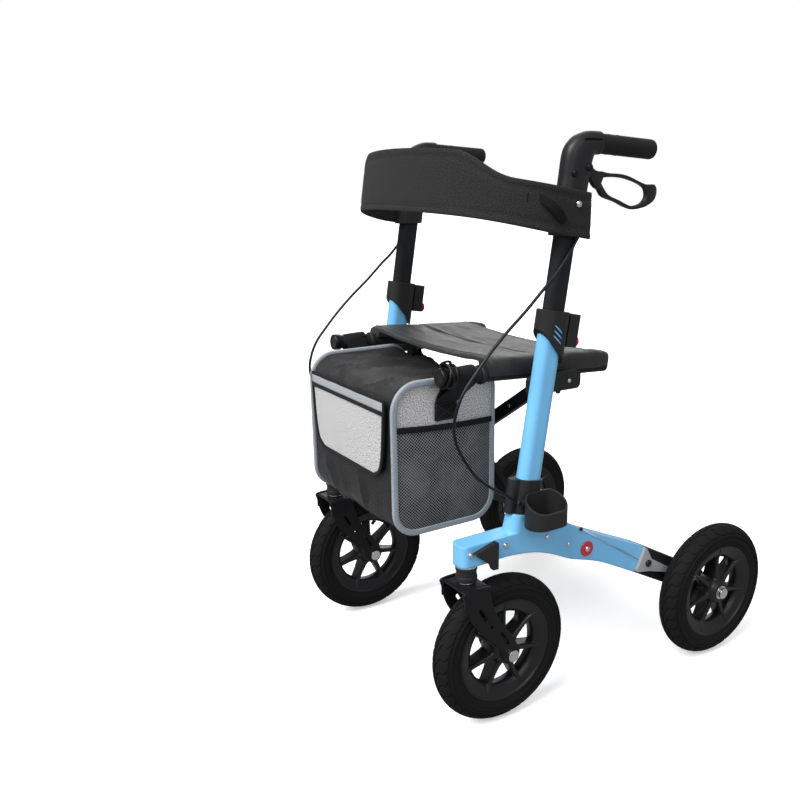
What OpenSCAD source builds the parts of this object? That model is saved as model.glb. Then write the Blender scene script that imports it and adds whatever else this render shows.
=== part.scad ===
// All terrain rollator: two light blue side frames on four pneumatic wheels, tied by a crossed brace.
// Millimetres. The floor is Z zero, +X is the walker's left and the walker faces -Y.

/* [Stance] */
// Middle plane of a side frame, from the centre line
side_x = 234; // [222:1:250]
// Middle plane of a rear wheel, from the centre line
rear_x = 289; // [284:1:320]
// Front hub to rear hub
wheelbase = 456; // [440:1:480]
// Rear hub behind the origin
rear_hub_y = 240; // [232:1:248]
// Steering axis ahead of the front hub
caster_trail = 66; // [58:1:74]

/* [Wheels] */
// Outer radius of a tyre
wheel_r = 127; // [122:1:128]
// Width of a tyre
tyre_w = 46; // [40:1:48]
// Thickness of a tyre's casing
tyre_wall = 5; // [3:0.5:7]
// Width of a tyre where it meets the rim
bead_w = 38; // [34:1:40]
// Radius of the rim under the tyre
rim_r = 89; // [85:1:93]
// Depth of the rim's ring
rim_depth = 22; // [16:1:28]
// Number of spokes
spoke_count = 7; // [5:1:9]
// Width of a spoke along the axle
spoke_w = 20; // [12:1:26]
// Thickness of a spoke
spoke_t = 9; // [5:0.5:12]
// Radius of a wheel's hub
hub_r = 24; // [19:1:30]
// Width of a wheel's hub
hub_w = 52; // [44:1:56]
// Outer radius of a wheel bearing
bearing_r = 14; // [11:0.5:16]
// Width of a wheel bearing
bearing_w = 8; // [6:0.5:10]
// Radius of an axle
axle_r = 6; // [5:0.25:7]
// Radius of an axle's bolt head and nut
axle_head_r = 10; // [8:0.5:12]
// Thickness of an axle's bolt head and nut
axle_head_t = 6; // [4:0.5:8]

/* [Caster forks] */
// Clear width between the fork plates
fork_gap = 60; // [58:1:66]
// Thickness of the fork's plates
fork_t = 5; // [3:0.5:6]
// Length of the fork's crown
crown_l = 46; // [38:1:50]
// Height of the crown's underside
crown_z = 256; // [254:0.5:260]
// Radius of a fork plate round the axle
fork_eye_r = 17; // [14:1:20]
// Radius of the slots in a fork plate
fork_slot_r = 2.5; // [1.5:0.25:4]
// Radius of the steering stem
stem_r = 8; // [6:0.5:10]
// Radius of the washer on the crown
crown_washer_r = 13; // [11:0.5:15]
// Thickness of the washer on the crown
crown_washer_t = 4; // [2:0.5:5]
// Radius of the steering bearing cup
cup_r = 17.5; // [15:0.5:18]

/* [Base beams] */
// Width of a base beam
beam_w = 37; // [34:1:42]
// Height of the beam's flat top
beam_top_z = 328; // [322:1:336]
// Height of the beam's end over the rear wheel's front
beam_end_z = 188; // [182:1:194]
// Length from the nose to the rear end
beam_l = 396; // [384:1:404]
// Nose ahead of the steering axis
nose_lead = 18.6; // [17:0.5:22]
// Radius of the nose's corners
nose_corner_r = 12; // [6:1:16]
// Wall of the beam, which is open underneath
beam_wall = 5; // [4:0.5:7]
// Height of the flared foot that holds an upright
foot_h = 27; // [24:1:30]
// Wall of the foot round the upright
foot_wall = 4.5; // [3:0.5:6]
// Extra depth of the foot before and behind the upright
foot_deep = 5; // [2:0.5:6]
// Spread of the foot where it meets the beam
foot_flare = 3; // [2:1:6]
// Radius of the black rear arm round the rear axle
arm_eye_r = 24; // [20:1:28]

/* [Uprights] */
// Rearward tilt of the uprights in degrees
upright_tilt = 9.19; // [7:0.1:11]
// Upright's axis ahead of the origin at the beam's top
foot_y = -175.3; // [-180:0.1:-170]
// Width of the upright's oval tube
upright_w = 27; // [25:0.5:30]
// Depth of the upright's oval tube
upright_d = 42; // [39:0.5:46]
// Wall of the upright and of the handle tube
tube_wall = 1.6; // [1.2:0.1:2.5]
// Length of the upright above the beam
upright_l = 335; // [322:1:345]
// Height of the plastic sleeve round the upright's foot
sleeve_h = 56; // [48:1:70]
// Wall of the sleeve
sleeve_wall = 4; // [3:0.5:6]
// Radius of the sleeve's cable inlet
inlet_r = 9; // [7:0.5:11]

/* [Cane cup] */
// Length of the cane cup
cane_cup_l = 74; // [60:1:80]
// Width of the cane cup
cane_cup_w = 47; // [40:1:54]
// Height of the cane cup
cane_cup_h = 26; // [24:1:32]
// Height of the cane cup's floor
cane_cup_z = 343; // [341:0.5:346]
// Wall of the cane cup
cane_cup_wall = 3; // [2:0.5:4]

/* [Collars] */
// Wall of the clamp collar
collar_wall = 7; // [5:0.5:8]
// Length of the collar along the upright
collar_l = 82; // [74:1:90]
// Length of the collar above the upright's end
collar_over = 18; // [12:1:24]
// Depth of the lock block behind the collar
lock_d = 19; // [14:1:22]
// Width of the lock block
lock_w = 26; // [20:1:30]
// Height of the lock block
lock_h = 52; // [40:1:56]
// Radius of the lock button
button_r = 6; // [4:0.5:8]
// How far the lock button stands out, which is its travel and a little more
button_proud = 5; // [3.5:0.25:6]

/* [Handles] */
// Length of the handle tube below the housing
handle_tube_l = 290; // [270:1:300]
// Height of the middle of the handle's bend
bend_z = 880; // [870:1:900]
// Outer radius of the handle's bend
bend_r = 63; // [60:1:66]
// Middle of the bend behind the upright's axis
bend_set = 27; // [25:0.5:29]
// Width of the handle housing
housing_w = 34; // [32:0.5:38]
// Radius of the grip
grip_r = 15.3; // [14:0.1:17]
// Length of the grip
grip_l = 116; // [110:1:125]
// Downward slope of the grip in degrees
grip_slope = 3.4; // [0:0.1:5]
// Radius of the spigot inside the grip
spigot_r = 11; // [9:0.5:12]
// Length of the brake lever's loop from its pivot
lever_l = 152; // [140:1:158]
// Half of the lever's bar height
lever_bar_r = 5.5; // [4:0.5:7]
// Thickness of the lever across the walker
lever_t = 10; // [7:0.5:12]
// Radius of the lever's pivot screw
pivot_r = 4; // [3:0.25:5]

/* [Brace and seat] */
// Lower brace pivots, from the centre line
brace_low_x = 195; // [190:1:198]
// Upper brace pivots and seat rails, from the centre line
rail_x = 182; // [176:1:186]
// Height of the lower brace pivots
brace_low_z = 296; // [293:1:300]
// Height of the upper brace pivots
brace_high_z = 541; // [537:1:544]
// Plane between the two brace bars
brace_y = -112; // [-116:1:-108]
// Half of a brace bar's height
bar_r = 10.5; // [10:0.5:14]
// Thickness of a brace bar
bar_t = 12; // [9:0.5:14]
// Radius of the brace studs
stud_r = 6; // [4.5:0.5:7]
// Height of the seat rails' axis over the brace
rail_z = 572; // [570:1:578]
// Downward slope of the seat rails to the rear in degrees
rail_tilt = 3; // [0:0.1:4]
// Radius of a seat rail
rail_r = 12.5; // [11:0.5:13.5]
// Wall of a seat rail
rail_wall = 2; // [1.5:0.25:3]
// Length of the seat rails ahead of the brace
rail_fore = 185; // [178:1:190]
// Length of the seat rails behind the brace
rail_aft = 152; // [146:1:156]
// Length of the seat sling ahead of the brace
seat_fore = 100; // [90:1:110]
// Length of the seat sling behind the brace
seat_aft = 122; // [115:1:130]
// Length of the padded sleeves behind the brace
pad_aft = 155; // [150:1:160]
// Thickness of the seat sling
seat_t = 4; // [2.5:0.5:5]
// Sag of the seat sling in the middle
seat_sag = 13; // [6:1:20]

/* [Backrest] */
// Thickness of the backrest band
back_t = 6; // [4:0.5:8]
// Depth of the band's bow in front of its straight ends
back_bow = 150; // [130:1:165]
// Height of the band at its ends
back_end_h = 69; // [60:1:75]
// Height of the band in the middle
back_mid_h = 104; // [95:1:115]
// Height of the band's lower edge at its ends
back_low_z = 783.5; // [780:0.5:788]
// Rear end of the band
back_end_y = -69; // [-73:1:-65]
// Straight stretch of the band beside the housing
back_tab_l = 58; // [56:1:62]
// Radius of the backrest bolt's head
back_bolt_r = 7; // [5:0.5:9]

/* [Bag] */
// Half of the bag's width
bag_x = 145; // [138:1:146]
// Depth of the bag from front to back
bag_d = 193; // [180:1:196]
// Height of the bag
bag_h = 252; // [235:1:256]
// Front face of the bag
bag_front_y = -361; // [-366:0.5:-356]
// Height of the bag's underside
bag_base_z = 320; // [316:1:326]
// Radius of the bag's rounded edges
bag_corner_r = 42; // [28:1:46]
// Thickness of the bag's walls
bag_wall = 3; // [2:0.5:5]
// Width of the bag's straps
strap_w = 40; // [30:1:42]
// Thickness of the bag's straps
strap_t = 2.5; // [1.5:0.25:4]
// Lower end of a strap under the bag's top
strap_drop = 66; // [50:1:75]
// Thickness of the flap
flap_t = 5.6; // [3:0.1:6]
// Half of the flap's width at its top
flap_x = 128; // [118:1:134]
// Height of the flap
flap_h = 135; // [115:1:145]

/* [Cables] */
// Radius of the brake cables
cable_r = 2.5; // [1.8:0.1:3]
// Radius of the bare brake wires
wire_r = 0.8; // [0.6:0.1:1]

/* [Hidden] */
$fn = 64;
// Clearances: fixed pieces, running pins, sliding tubes, the faces of moving pieces and a rail over its rest
fit = 0.1;
run = 0.05;
slide = 0.3;
clear = 0.5;
rest_gap = 4.5;
// Step where a flat meets a round end, so that no two faces are tangent
shy = 0.03;
// Overrun of every cut
over = 2;
// Facets on curved outlines and on hulled children
steps = 6;
hull_fn = 32;

// Places that follow from the stance
front_hub_y = rear_hub_y - wheelbase;
steer_y = front_hub_y - caster_trail;
nose_y = steer_y - nose_lead;
beam_drop = beam_top_z - beam_end_z;
beam_out_x = side_x + beam_w / 2;
beam_in_x = side_x - beam_w / 2;

// Caster stack, from the crown up to the beam
crown_top_z = crown_z + fork_t;
washer_top_z = crown_top_z + crown_washer_t;
stem_top_share = 0.35;
// Outline of the beam, as shares of its length from the nose and of its drop from the top
beam_top_shares = [[0, 0], [0.35, 0], [0.5, 0.035], [0.56, 0.09], [0.63, 0.21], [1, 0.68]];
beam_low_shares = [[0.946, 1], [0.77, 0.745], [0.68, 0.635], [0.55, 0.516], [0.45, 0.385],
                   [0.35, 0.29], [0.22, 0.245], [0.115, 0.255]];
beam_nose_shares = [0, 0.255];
beam_under_z = beam_top_z - beam_nose_shares[1] * beam_drop;
stem_top_z = beam_under_z + stem_top_share * (beam_top_z - beam_under_z);
arm_end_high = beam_point(beam_top_shares[len(beam_top_shares) - 1]);
arm_end_low = beam_point(beam_low_shares[0]);
rear_hub = [rear_hub_y, wheel_r];

// Kerb guard on the beam's outer face, as shares of its length and of the beam's nose height
kerb_l = 44;
kerb_t = 9;
kerb_h = 46;
kerb_lead = 1;
kerb_tip_y = steer_y - kerb_lead;
kerb_shares = [[0, -0.25], [0.94, 0], [1, -0.04], [1, -1], [0.78, -1], [0.7, -0.82]];

// Brake arm on the rear arm's outer face: pivot and outline, as shares of its reach
arm_reach = 58;
arm_t = 7;
arm_pin_share = 0.09;
arm_pin = arm_pin_point();
arm_shares = [[-0.14, 0.55], [-0.06, 0.5], [0.16, 0.1], [0.98, -0.4], [1, -0.5], [0.92, -0.56],
              [0.1, -0.3], [-0.44, -0.2], [-0.46, -0.12], [-0.3, 0.16]];

// Upright stations, measured along its own axis from the beam's top
seat_t0_share = 0.2;
upright_t0 = foot_h * seat_t0_share;
sleeve_t0 = foot_h + slide;
collar_t1 = upright_l + collar_over;
collar_t0 = collar_t1 - collar_l;
bore_w = upright_w - 2 * tube_wall;
bore_d = upright_d - 2 * tube_wall;
tube_w = bore_w - 2 * slide;
tube_d = bore_d - 2 * slide;
collar_w = upright_w + 2 * collar_wall;
collar_d = upright_d + 2 * collar_wall;
collar_low_z = beam_top_z + collar_t0 * cos(upright_tilt) - collar_d / 2 * sin(upright_tilt);
// The collar's lower edge slants from the front down to a tail behind
collar_front_share = 0.62;
slit_count = 3;
slit_w = 2.6;
slit_l = 22;
slit_pitch = 8;
slit_turn = 35;
lock_y = collar_d / 2 - over;
button_t = collar_t0 + 0.45 * collar_l;
button_share = 0.3;

// Handle: bend, grip and lever
axis_slope = tan(upright_tilt);
bend_y = axis_y(bend_z) + bend_set;
// Side view of the housing, as shares of the bend's radius: front and top, then down the rear
housing_front_shares = [[-1.11, -1.42], [-0.857, -0.222], [-0.762, 0.413], [-0.587, 0.746], [-0.206, 0.96],
                        [0.29, 1]];
housing_rear_shares = [[0.29, 0.43], [0.095, 0.42], [0.048, 0.238], [-0.056, -0.254], [-0.225, -1.42]];
grip_set = 1;
grip_y = bend_y + 0.29 * bend_r + grip_set;
grip_z = bend_z + 0.72 * bend_r;
pivot = [bend_y - 0.167 * bend_r, bend_z + 0.152 * bend_r];
lever_shares = [[0.276, -0.086], [0.526, -0.105], [0.845, -0.21], [0.985, -0.225], [0.724, -0.378],
                [0.36, -0.25]];
lever_root_r = pivot_r + lever_bar_r;
slot_r = lever_root_r + slide + clear;
pivot_head_r = 1.8 * pivot_r;
pivot_head_t = 0.7 * pivot_r;
housing_base_z = bend_z - 1.42 * bend_r;
tube_top = (housing_base_z - beam_top_z) / cos(upright_tilt) + 0.35 * bend_r;
tube_base = tube_top - handle_tube_l;

// Brace: bar planes, eyes and lugs
bar_gap = 2;
lug_t = 8.5;
lug_r = 12;
stud_head_r = 9.5;
stud_head_t = 2;
pin_r = 5;
bar_y_a = brace_y - (bar_t + bar_gap) / 2;
bar_y_b = brace_y + (bar_t + bar_gap) / 2;

// Seat rail furniture
rail_cap_r = rail_r + 2 * slide + rail_wall / 2;
rail_cap_l = 12;
bracket_t = 7;
bracket_h = 30.5;
bracket_rise = 20;
bracket_rear_y = -45;
bracket_corner_r = 9;
shelf_l = 24;
shelf_h = 8;
sling_in_r = rail_r + slide;
sling_out_r = sling_in_r + seat_t;
sling_wrap = 120;
sling_close = 150;
sling_steps = 16;
// Outline of a padded sleeve over a rail, as shares of the sleeve's radius: outside and top, then inside
pad_out_shares = [[1.02, 0.2], [1.02, 1], [0.84, 1.36], [0.4, 1.58], [-0.3, 1.62]];
pad_in_shares = [[-1.02, 0.6], [-1.13, 1.05]];
seat_h = 1.62 * sling_out_r;

// Backrest
back_in_x = side_x + housing_w / 2 + slide;
back_x = back_in_x + back_t / 2;
back_bow_y = back_end_y - back_tab_l;
back_bolt_y = back_end_y - 0.45 * back_tab_l;
back_bolt_z = back_low_z + 0.77 * back_end_h;
back_bolt_shank_r = 0.45 * back_bolt_r;
back_bolt_t = 0.6 * back_bolt_r;
back_steps = 24;
// Upper edge of the band across the walker, as shares of half its width and of its rise
back_edge_shares = [[1.1, 0], [0.9, 0], [0.82, 0.12], [0.74, 0.41], [0.66, 0.7], [0.58, 0.9], [0.48, 0.985],
                    [0, 1]];

// Bag
bag_top_z = bag_base_z + bag_h;
bag_back_y = bag_front_y + bag_d;
strap_fore = rail_fore - rail_cap_l - clear;
flap_top_z = bag_top_z - 0.64 * bag_corner_r;
flap_taper_share = 0.84;
flap_corner_share = 0.12;
patch_h = 26;
hem_h = 6;
hem_d = 24;
mouth_x_share = 0.72;
mouth_h_share = 0.6;

// Screws: radius and thickness of the small heads, and their places as shares of the beam's outline
screw_r = 4.5;
screw_t = 3;
hinge_screw_r = 6;
screw_shares = [[0.035, 0.1], [0.205, 0.1], [0.42, 0.14], [0.538, 0.315]];
hinge_screw_share = [0.643, 0.45];

// Route of a brake cable from the handle housing to the sleeve's inlet, chosen by hand
cable_route = [[248.5, -87, 789], [249, -97, 772], [251, -129, 735], [252, -153, 714], [252, -187, 683],
               [252, -222, 654], [252, -252, 626], [252, -280, 596], [252, -299, 573], [252, -311, 548],
               [252, -316, 520], [252, -308, 488], [252, -280, 444], [252, -252, 419], [252, -223, 400],
               [252, -202, 385], [252, -191, 378]];
cane_cup_set = 15;
// The cup's rim climbs towards the upright
cup_rise = 26;
cup_web_l = 16;
cup_web_h = 12;
boss_x = 252;
boss_z = 376;
boss_r = 4.5;
boss_y = -190;
boss_l = 15;
cable_sides = 8;
cable_steps = 3;

// Upright's axis at a height
function axis_y(z) = foot_y + (z - beam_top_z) * tan(upright_tilt);

// A share of the beam's outline, as a point in Y and Z
function beam_point(s) = [nose_y + s[0] * beam_l, beam_top_z - s[1] * beam_drop];

// Height of the beam's top at a place along it
function beam_top_at(y) = beam_top_z - lookup((y - nose_y) / beam_l, beam_top_shares) * beam_drop;

// Brake arm's pivot, a little way from the beam's end towards the rear hub
function arm_pin_point() =
    let (start = (arm_end_high + arm_end_low) / 2)
    start + arm_pin_share * (rear_hub - start);

// Smooth curve through the points of an outline
function bend(p, i, t) =
    let (a = p[max(i - 1, 0)], b = p[i], c = p[i + 1], d = p[min(i + 2, len(p) - 1)])
    (2 * b + (c - a) * t + (2 * a - 5 * b + 4 * c - d) * t * t + (3 * b - a - 3 * c + d) * t * t * t) / 2;
function curve(p, n) = concat(
    [for (i = [0 : len(p) - 2]) for (k = [0 : n - 1]) bend(p, i, k / n)],
    [p[len(p) - 1]]);

// Unit vectors and the rings of a swept tube
function unit(v) = v / norm(v);
function heading(p, i) = unit(p[min(i + 1, len(p) - 1)] - p[max(i - 1, 0)]);
function ring(p, i, r, n) =
    let (h = heading(p, i), u = unit(cross(h, [1, 0, 0])), w = cross(h, u))
    [for (k = [0 : n - 1]) p[i] + r * (cos(360 * k / n) * u + sin(360 * k / n) * w)];

// Puts a left-hand piece on the left, or its mirror image on the right
module on_side(s) {
    if (s == "left")
        children();
    else
        mirror([1, 0, 0]) children();
}

// Frame of the tilted upright, with Z along its axis from the beam's top
module along_upright(t = 0) {
    translate([side_x, foot_y, beam_top_z])
        rotate([-upright_tilt, 0, 0])
            translate([0, 0, t]) children();
}

// Frame of a hub, with Z along the axle
module at_hub(x, y) {
    translate([x, y, wheel_r]) rotate([0, 90, 0]) children();
}

// Plate of an outline in Y and Z, w thick and centred on x
module side_plate(x, w) {
    translate([x, 0, 0]) rotate([90, 0, 90]) linear_extrude(w, center = true) children();
}

// Plate of an outline in X and Z, w thick and centred on y
module front_plate(y, w) {
    translate([0, y, 0]) rotate([90, 0, 0]) linear_extrude(w, center = true) children();
}

// Round bar from x0 to x1 across the walker at a point in Y and Z
module cross_rod(x0, x1, p, r) {
    translate([x0, p[0], p[1]]) rotate([0, 90, 0]) cylinder(h = x1 - x0, r = r);
}

// Round bar from y0 to y1 along the walker at a point in X and Z
module long_rod(y0, y1, p, r) {
    translate([p[0], y0, p[1]]) rotate([-90, 0, 0]) cylinder(h = y1 - y0, r = r);
}

// Round bar along a seat rail, from s0 to s1 behind the brace
module rail_rod(x, s0, s1, r) {
    translate([x, brace_y, rail_z])
        rotate([-90 - rail_tilt, 0, 0])
            translate([0, 0, s0]) cylinder(h = s1 - s0, r = r);
}

// Outline across the seat rails, drawn along them from s0 to s1 behind the brace
module rail_prism(s0, s1) {
    translate([0, brace_y, rail_z])
        rotate([90 - rail_tilt, 0, 0])
            translate([0, 0, -s1]) linear_extrude(s1 - s0) children();
}

// Oval outline, w across X and d along Y
module oval(w, d) {
    square([w, d - w], center = true);
    for (e = [-1, 1])
        translate([0, e * (d - w) / 2]) circle(d = w);
}

// Bar of half height r with round ends at a and b
module link(a, b, r) {
    translate(a) circle(r);
    translate(b) circle(r);
    flat = r - shy;
    translate(a)
        rotate(atan2(b[1] - a[1], b[0] - a[0]))
            translate([0, -flat]) square([norm(b - a), 2 * flat]);
}

// Rectangle with round corners from a to b
module round_box(a, b, r) {
    translate([a[0] + r, a[1]]) square([b[0] - a[0] - 2 * r, b[1] - a[1]]);
    translate([a[0], a[1] + r]) square([b[0] - a[0], b[1] - a[1] - 2 * r]);
    for (x = [a[0] + r, b[0] - r])
        for (y = [a[1] + r, b[1] - r])
            translate([x, y]) circle(r);
}

// Tube swept along a route
module swept_tube(p, r, n) {
    rings = len(p);
    faces = concat(
        [[for (k = [0 : n - 1]) k]],
        [for (i = [0 : rings - 2]) for (k = [0 : n - 1]) each
            [[i * n + k, (i + 1) * n + k, i * n + (k + 1) % n],
             [i * n + (k + 1) % n, (i + 1) * n + k, (i + 1) * n + (k + 1) % n]]],
        [[for (k = [n - 1 : -1 : 0]) (rings - 1) * n + k]]);
    polyhedron([for (i = [0 : rings - 1]) each ring(p, i, r, n)], faces);
}

// Casing of a pneumatic tyre, open towards the rim
module tyre() {
    crown = wheel_r - tyre_w / 2;
    color("#1d1d1f")
        rotate_extrude(convexity = 6)
            difference() {
                union() {
                    translate([crown, 0]) circle(d = tyre_w);
                    translate([rim_r, -bead_w / 2]) square([crown - rim_r, bead_w]);
                }
                translate([crown, 0]) circle(d = tyre_w - 2 * tyre_wall);
                translate([rim_r - over, tyre_wall - bead_w / 2])
                    square([crown - rim_r + over, bead_w - 2 * tyre_wall]);
                translate([0, -tyre_w]) square([rim_r, 2 * tyre_w]);
            }
}

// Moulded rim with its spokes, hub and bearing seats
module rim() {
    rim_out = rim_r - fit;
    rim_in = rim_r - rim_depth;
    dish_share = 0.35;
    color("#222224")
        difference() {
            union() {
                rotate_extrude(convexity = 4)
                    polygon([[rim_out, -bead_w / 2], [rim_out, bead_w / 2],
                             [rim_out - dish_share * rim_depth, bead_w / 2],
                             [rim_in, spoke_w / 2 + over], [rim_in, -spoke_w / 2 - over],
                             [rim_out - dish_share * rim_depth, -bead_w / 2]]);
                for (k = [0 : spoke_count - 1])
                    rotate(360 * k / spoke_count)
                        translate([hub_r - spoke_t / 2, -spoke_t / 2, -spoke_w / 2])
                            cube([rim_in - hub_r + spoke_t, spoke_t, spoke_w]);
                cylinder(h = hub_w, r = hub_r, center = true);
            }
            cylinder(h = hub_w + 2 * over, r = (bearing_r + axle_r) / 2, center = true);
            for (e = [-1, 1])
                translate([0, 0, e * (hub_w / 2 - bearing_w / 2 + over / 2)])
                    cylinder(h = bearing_w + over, r = bearing_r, center = true);
        }
}

// Two bearings in the hub's seats
module bearings() {
    color("#b8bcc0")
        for (e = [-1, 1])
            translate([0, 0, e * (hub_w - bearing_w) / 2])
                difference() {
                    cylinder(h = bearing_w, r = bearing_r - run, center = true);
                    cylinder(h = bearing_w + over, r = axle_r + run, center = true);
                }
}

// Axle bolt of a front wheel, with its nut
module front_axle() {
    out = fork_gap / 2 + fork_t;
    color("#c9ccd0")
        translate([side_x, front_hub_y, wheel_r]) rotate([0, 90, 0]) {
            cylinder(h = 2 * out, r = axle_r, center = true);
            for (e = [-1, 1])
                translate([0, 0, e * (out + axle_head_t / 2)])
                    cylinder(h = axle_head_t, r = axle_head_r, center = true);
        }
}

// Axle bolt of a rear wheel, through the rear arm
module rear_axle() {
    inner = beam_in_x - axle_head_t;
    outer = rear_x + hub_w / 2 + clear;
    color("#c9ccd0") {
        cross_rod(inner, outer + axle_head_t, rear_hub, axle_r);
        cross_rod(inner, beam_in_x, rear_hub, axle_head_r);
        cross_rod(outer, outer + axle_head_t, rear_hub, axle_head_r);
        cross_rod(beam_out_x, rear_x - hub_w / 2 - clear, rear_hub, axle_head_r);
    }
}

// Caster fork: crown, two slotted plates, washer and stem
module caster_fork() {
    eye = [front_hub_y, wheel_r];
    top = [steer_y, crown_top_z];
    along = unit(eye - top);
    across = [-along[1], along[0]];
    slot_shares = [[0.4, 0.5], [0.64, 0.74]];
    color("#17181a")
        difference() {
            union() {
                translate([side_x - fork_gap / 2 - fork_t, steer_y - crown_l / 2, crown_z])
                    cube([fork_gap + 2 * fork_t, crown_l, fork_t]);
                for (e = [-1, 1])
                    side_plate(side_x + e * (fork_gap + fork_t) / 2, fork_t)
                        difference() {
                            union() {
                                polygon([top - [crown_l / 2, 0], top + [crown_l / 2, 0],
                                         eye + (fork_eye_r - fit) * across,
                                         eye - (fork_eye_r - fit) * across]);
                                translate(eye) circle(fork_eye_r);
                            }
                            for (s = slot_shares)
                                link(top + s[0] * (eye - top), top + s[1] * (eye - top), fork_slot_r);
                        }
                translate([side_x, steer_y, crown_z]) cylinder(h = stem_top_z - crown_z, r = stem_r);
                translate([side_x, steer_y, crown_z])
                    cylinder(h = washer_top_z - crown_z, r = crown_washer_r);
            }
            cross_rod(side_x - fork_gap, side_x + fork_gap, eye, axle_r + run);
        }
}

// Bearing cup between the fork and the beam's nose
module bearing_cup() {
    base = washer_top_z + slide;
    lip_share = 0.3;
    h = beam_under_z - base;
    color("#1b1c1e")
        translate([side_x, steer_y, base])
            difference() {
                union() {
                    cylinder(h = h, r = cup_r - stem_r * lip_share / 2);
                    cylinder(h = lip_share * h, r = cup_r);
                    translate([0, 0, (1 - lip_share) * h]) cylinder(h = lip_share * h, r = cup_r);
                }
                translate([0, 0, -over]) cylinder(h = h + 2 * over, r = stem_r + run);
            }
}

// Side view of the beam
module beam_outline() {
    shares = concat(curve(beam_top_shares, steps), curve(beam_low_shares, steps), [beam_nose_shares]);
    polygon([for (s = shares) beam_point(s)]);
}

// Room inside the beam, which is open underneath
module beam_room() {
    intersection() {
        translate([0, -beam_wall]) beam_outline();
        translate([-beam_wall, -beam_wall]) beam_outline();
        translate([2 * nose_lead + beam_wall, -beam_wall]) beam_outline();
    }
}

// Cast base beam with the upright's foot and the lug of a brace bar
module base_beam(bar_y) {
    lug_y = bar_y - bar_t / 2 - clear - lug_t / 2;
    stud_end_y = bar_y + bar_t / 2 + clear;
    color("#7fb9e6")
        difference() {
            union() {
                intersection() {
                    difference() {
                        side_plate(side_x, beam_w) beam_outline();
                        side_plate(side_x, beam_w - 2 * beam_wall) beam_room();
                    }
                    linear_extrude(beam_top_z + over)
                        round_box([beam_in_x, nose_y], [beam_out_x, nose_y + beam_l + nose_lead],
                                  nose_corner_r);
                }
                hull() {
                    along_upright(foot_h - over)
                        linear_extrude(over)
                            oval(upright_w + 2 * foot_wall, upright_d + 2 * (foot_wall + foot_deep),
                                 $fn = hull_fn);
                    translate([side_x, foot_y, beam_top_at(foot_y) - over])
                        linear_extrude(over)
                            oval(beam_w, upright_d + 2 * (foot_wall + foot_deep + foot_flare), $fn = hull_fn);
                }
                front_plate(lug_y, lug_t)
                    link([brace_low_x, brace_low_z],
                         [beam_in_x + beam_wall - lug_r, min(brace_low_z, beam_top_at(bar_y) - lug_r)],
                         lug_r);
                long_rod(lug_y, stud_end_y + stud_head_t, [brace_low_x, brace_low_z], stud_r);
                long_rod(stud_end_y, stud_end_y + stud_head_t, [brace_low_x, brace_low_z], stud_head_r);
            }
            along_upright(upright_t0)
                linear_extrude(foot_h) oval(upright_w + 2 * fit, upright_d + 2 * fit);
            translate([side_x, steer_y, beam_under_z - over])
                cylinder(h = stem_top_z - beam_under_z + over + clear, r = stem_r + clear);
        }
}

// Oval upright tube
module upright() {
    color("#86c0ec")
        along_upright(upright_t0)
            linear_extrude(upright_l - upright_t0)
                difference() {
                    oval(upright_w, upright_d);
                    oval(bore_w, bore_d);
                }
}

// Plastic sleeve round the upright's foot, with the cable's inlet and, on one side, a cane cup
module foot_sleeve(with_cup) {
    inlet_y = -(upright_d / 2 + sleeve_wall + inlet_r / 2);
    cup_x = beam_out_x + clear + cane_cup_w / 2;
    cup_y = axis_y(cane_cup_z) + cane_cup_set;
    color("#202123")
        difference() {
            union() {
                along_upright(sleeve_t0)
                    linear_extrude(sleeve_h) {
                        oval(upright_w + 2 * sleeve_wall, upright_d + 2 * sleeve_wall);
                        translate([0, inlet_y]) circle(inlet_r);
                        translate([-inlet_r, inlet_y]) square([2 * inlet_r, -inlet_y]);
                    }
                long_rod(boss_y, boss_y + boss_l, [boss_x, boss_z], boss_r);
                if (with_cup)
                    translate([cup_x, cup_y, cane_cup_z])
                        difference() {
                            linear_extrude(cane_cup_h + cup_rise - over) oval(cane_cup_w, cane_cup_l);
                            translate([0, 0, cane_cup_wall])
                                linear_extrude(cane_cup_h + cup_rise)
                                    oval(cane_cup_w - 2 * cane_cup_wall, cane_cup_l - 2 * cane_cup_wall);
                            translate([cane_cup_w / 2, 0, cane_cup_h])
                                rotate([0, atan(cup_rise / cane_cup_w), 0])
                                    translate([-2 * cane_cup_w, -cane_cup_l, 0])
                                        cube([4 * cane_cup_w, 2 * cane_cup_l, 2 * cane_cup_w]);
                        }
                if (with_cup)
                    translate([side_x, cup_y - cup_web_l / 2, cane_cup_z + cane_cup_h - cup_web_h])
                        cube([cup_x - cane_cup_w / 2 + cane_cup_wall / 2 - side_x, cup_web_l, cup_web_h]);
            }
            along_upright(sleeve_t0 - over)
                linear_extrude(sleeve_h + 2 * over)
                    oval(upright_w + 2 * fit, upright_d + 2 * fit);
        }
}

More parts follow.
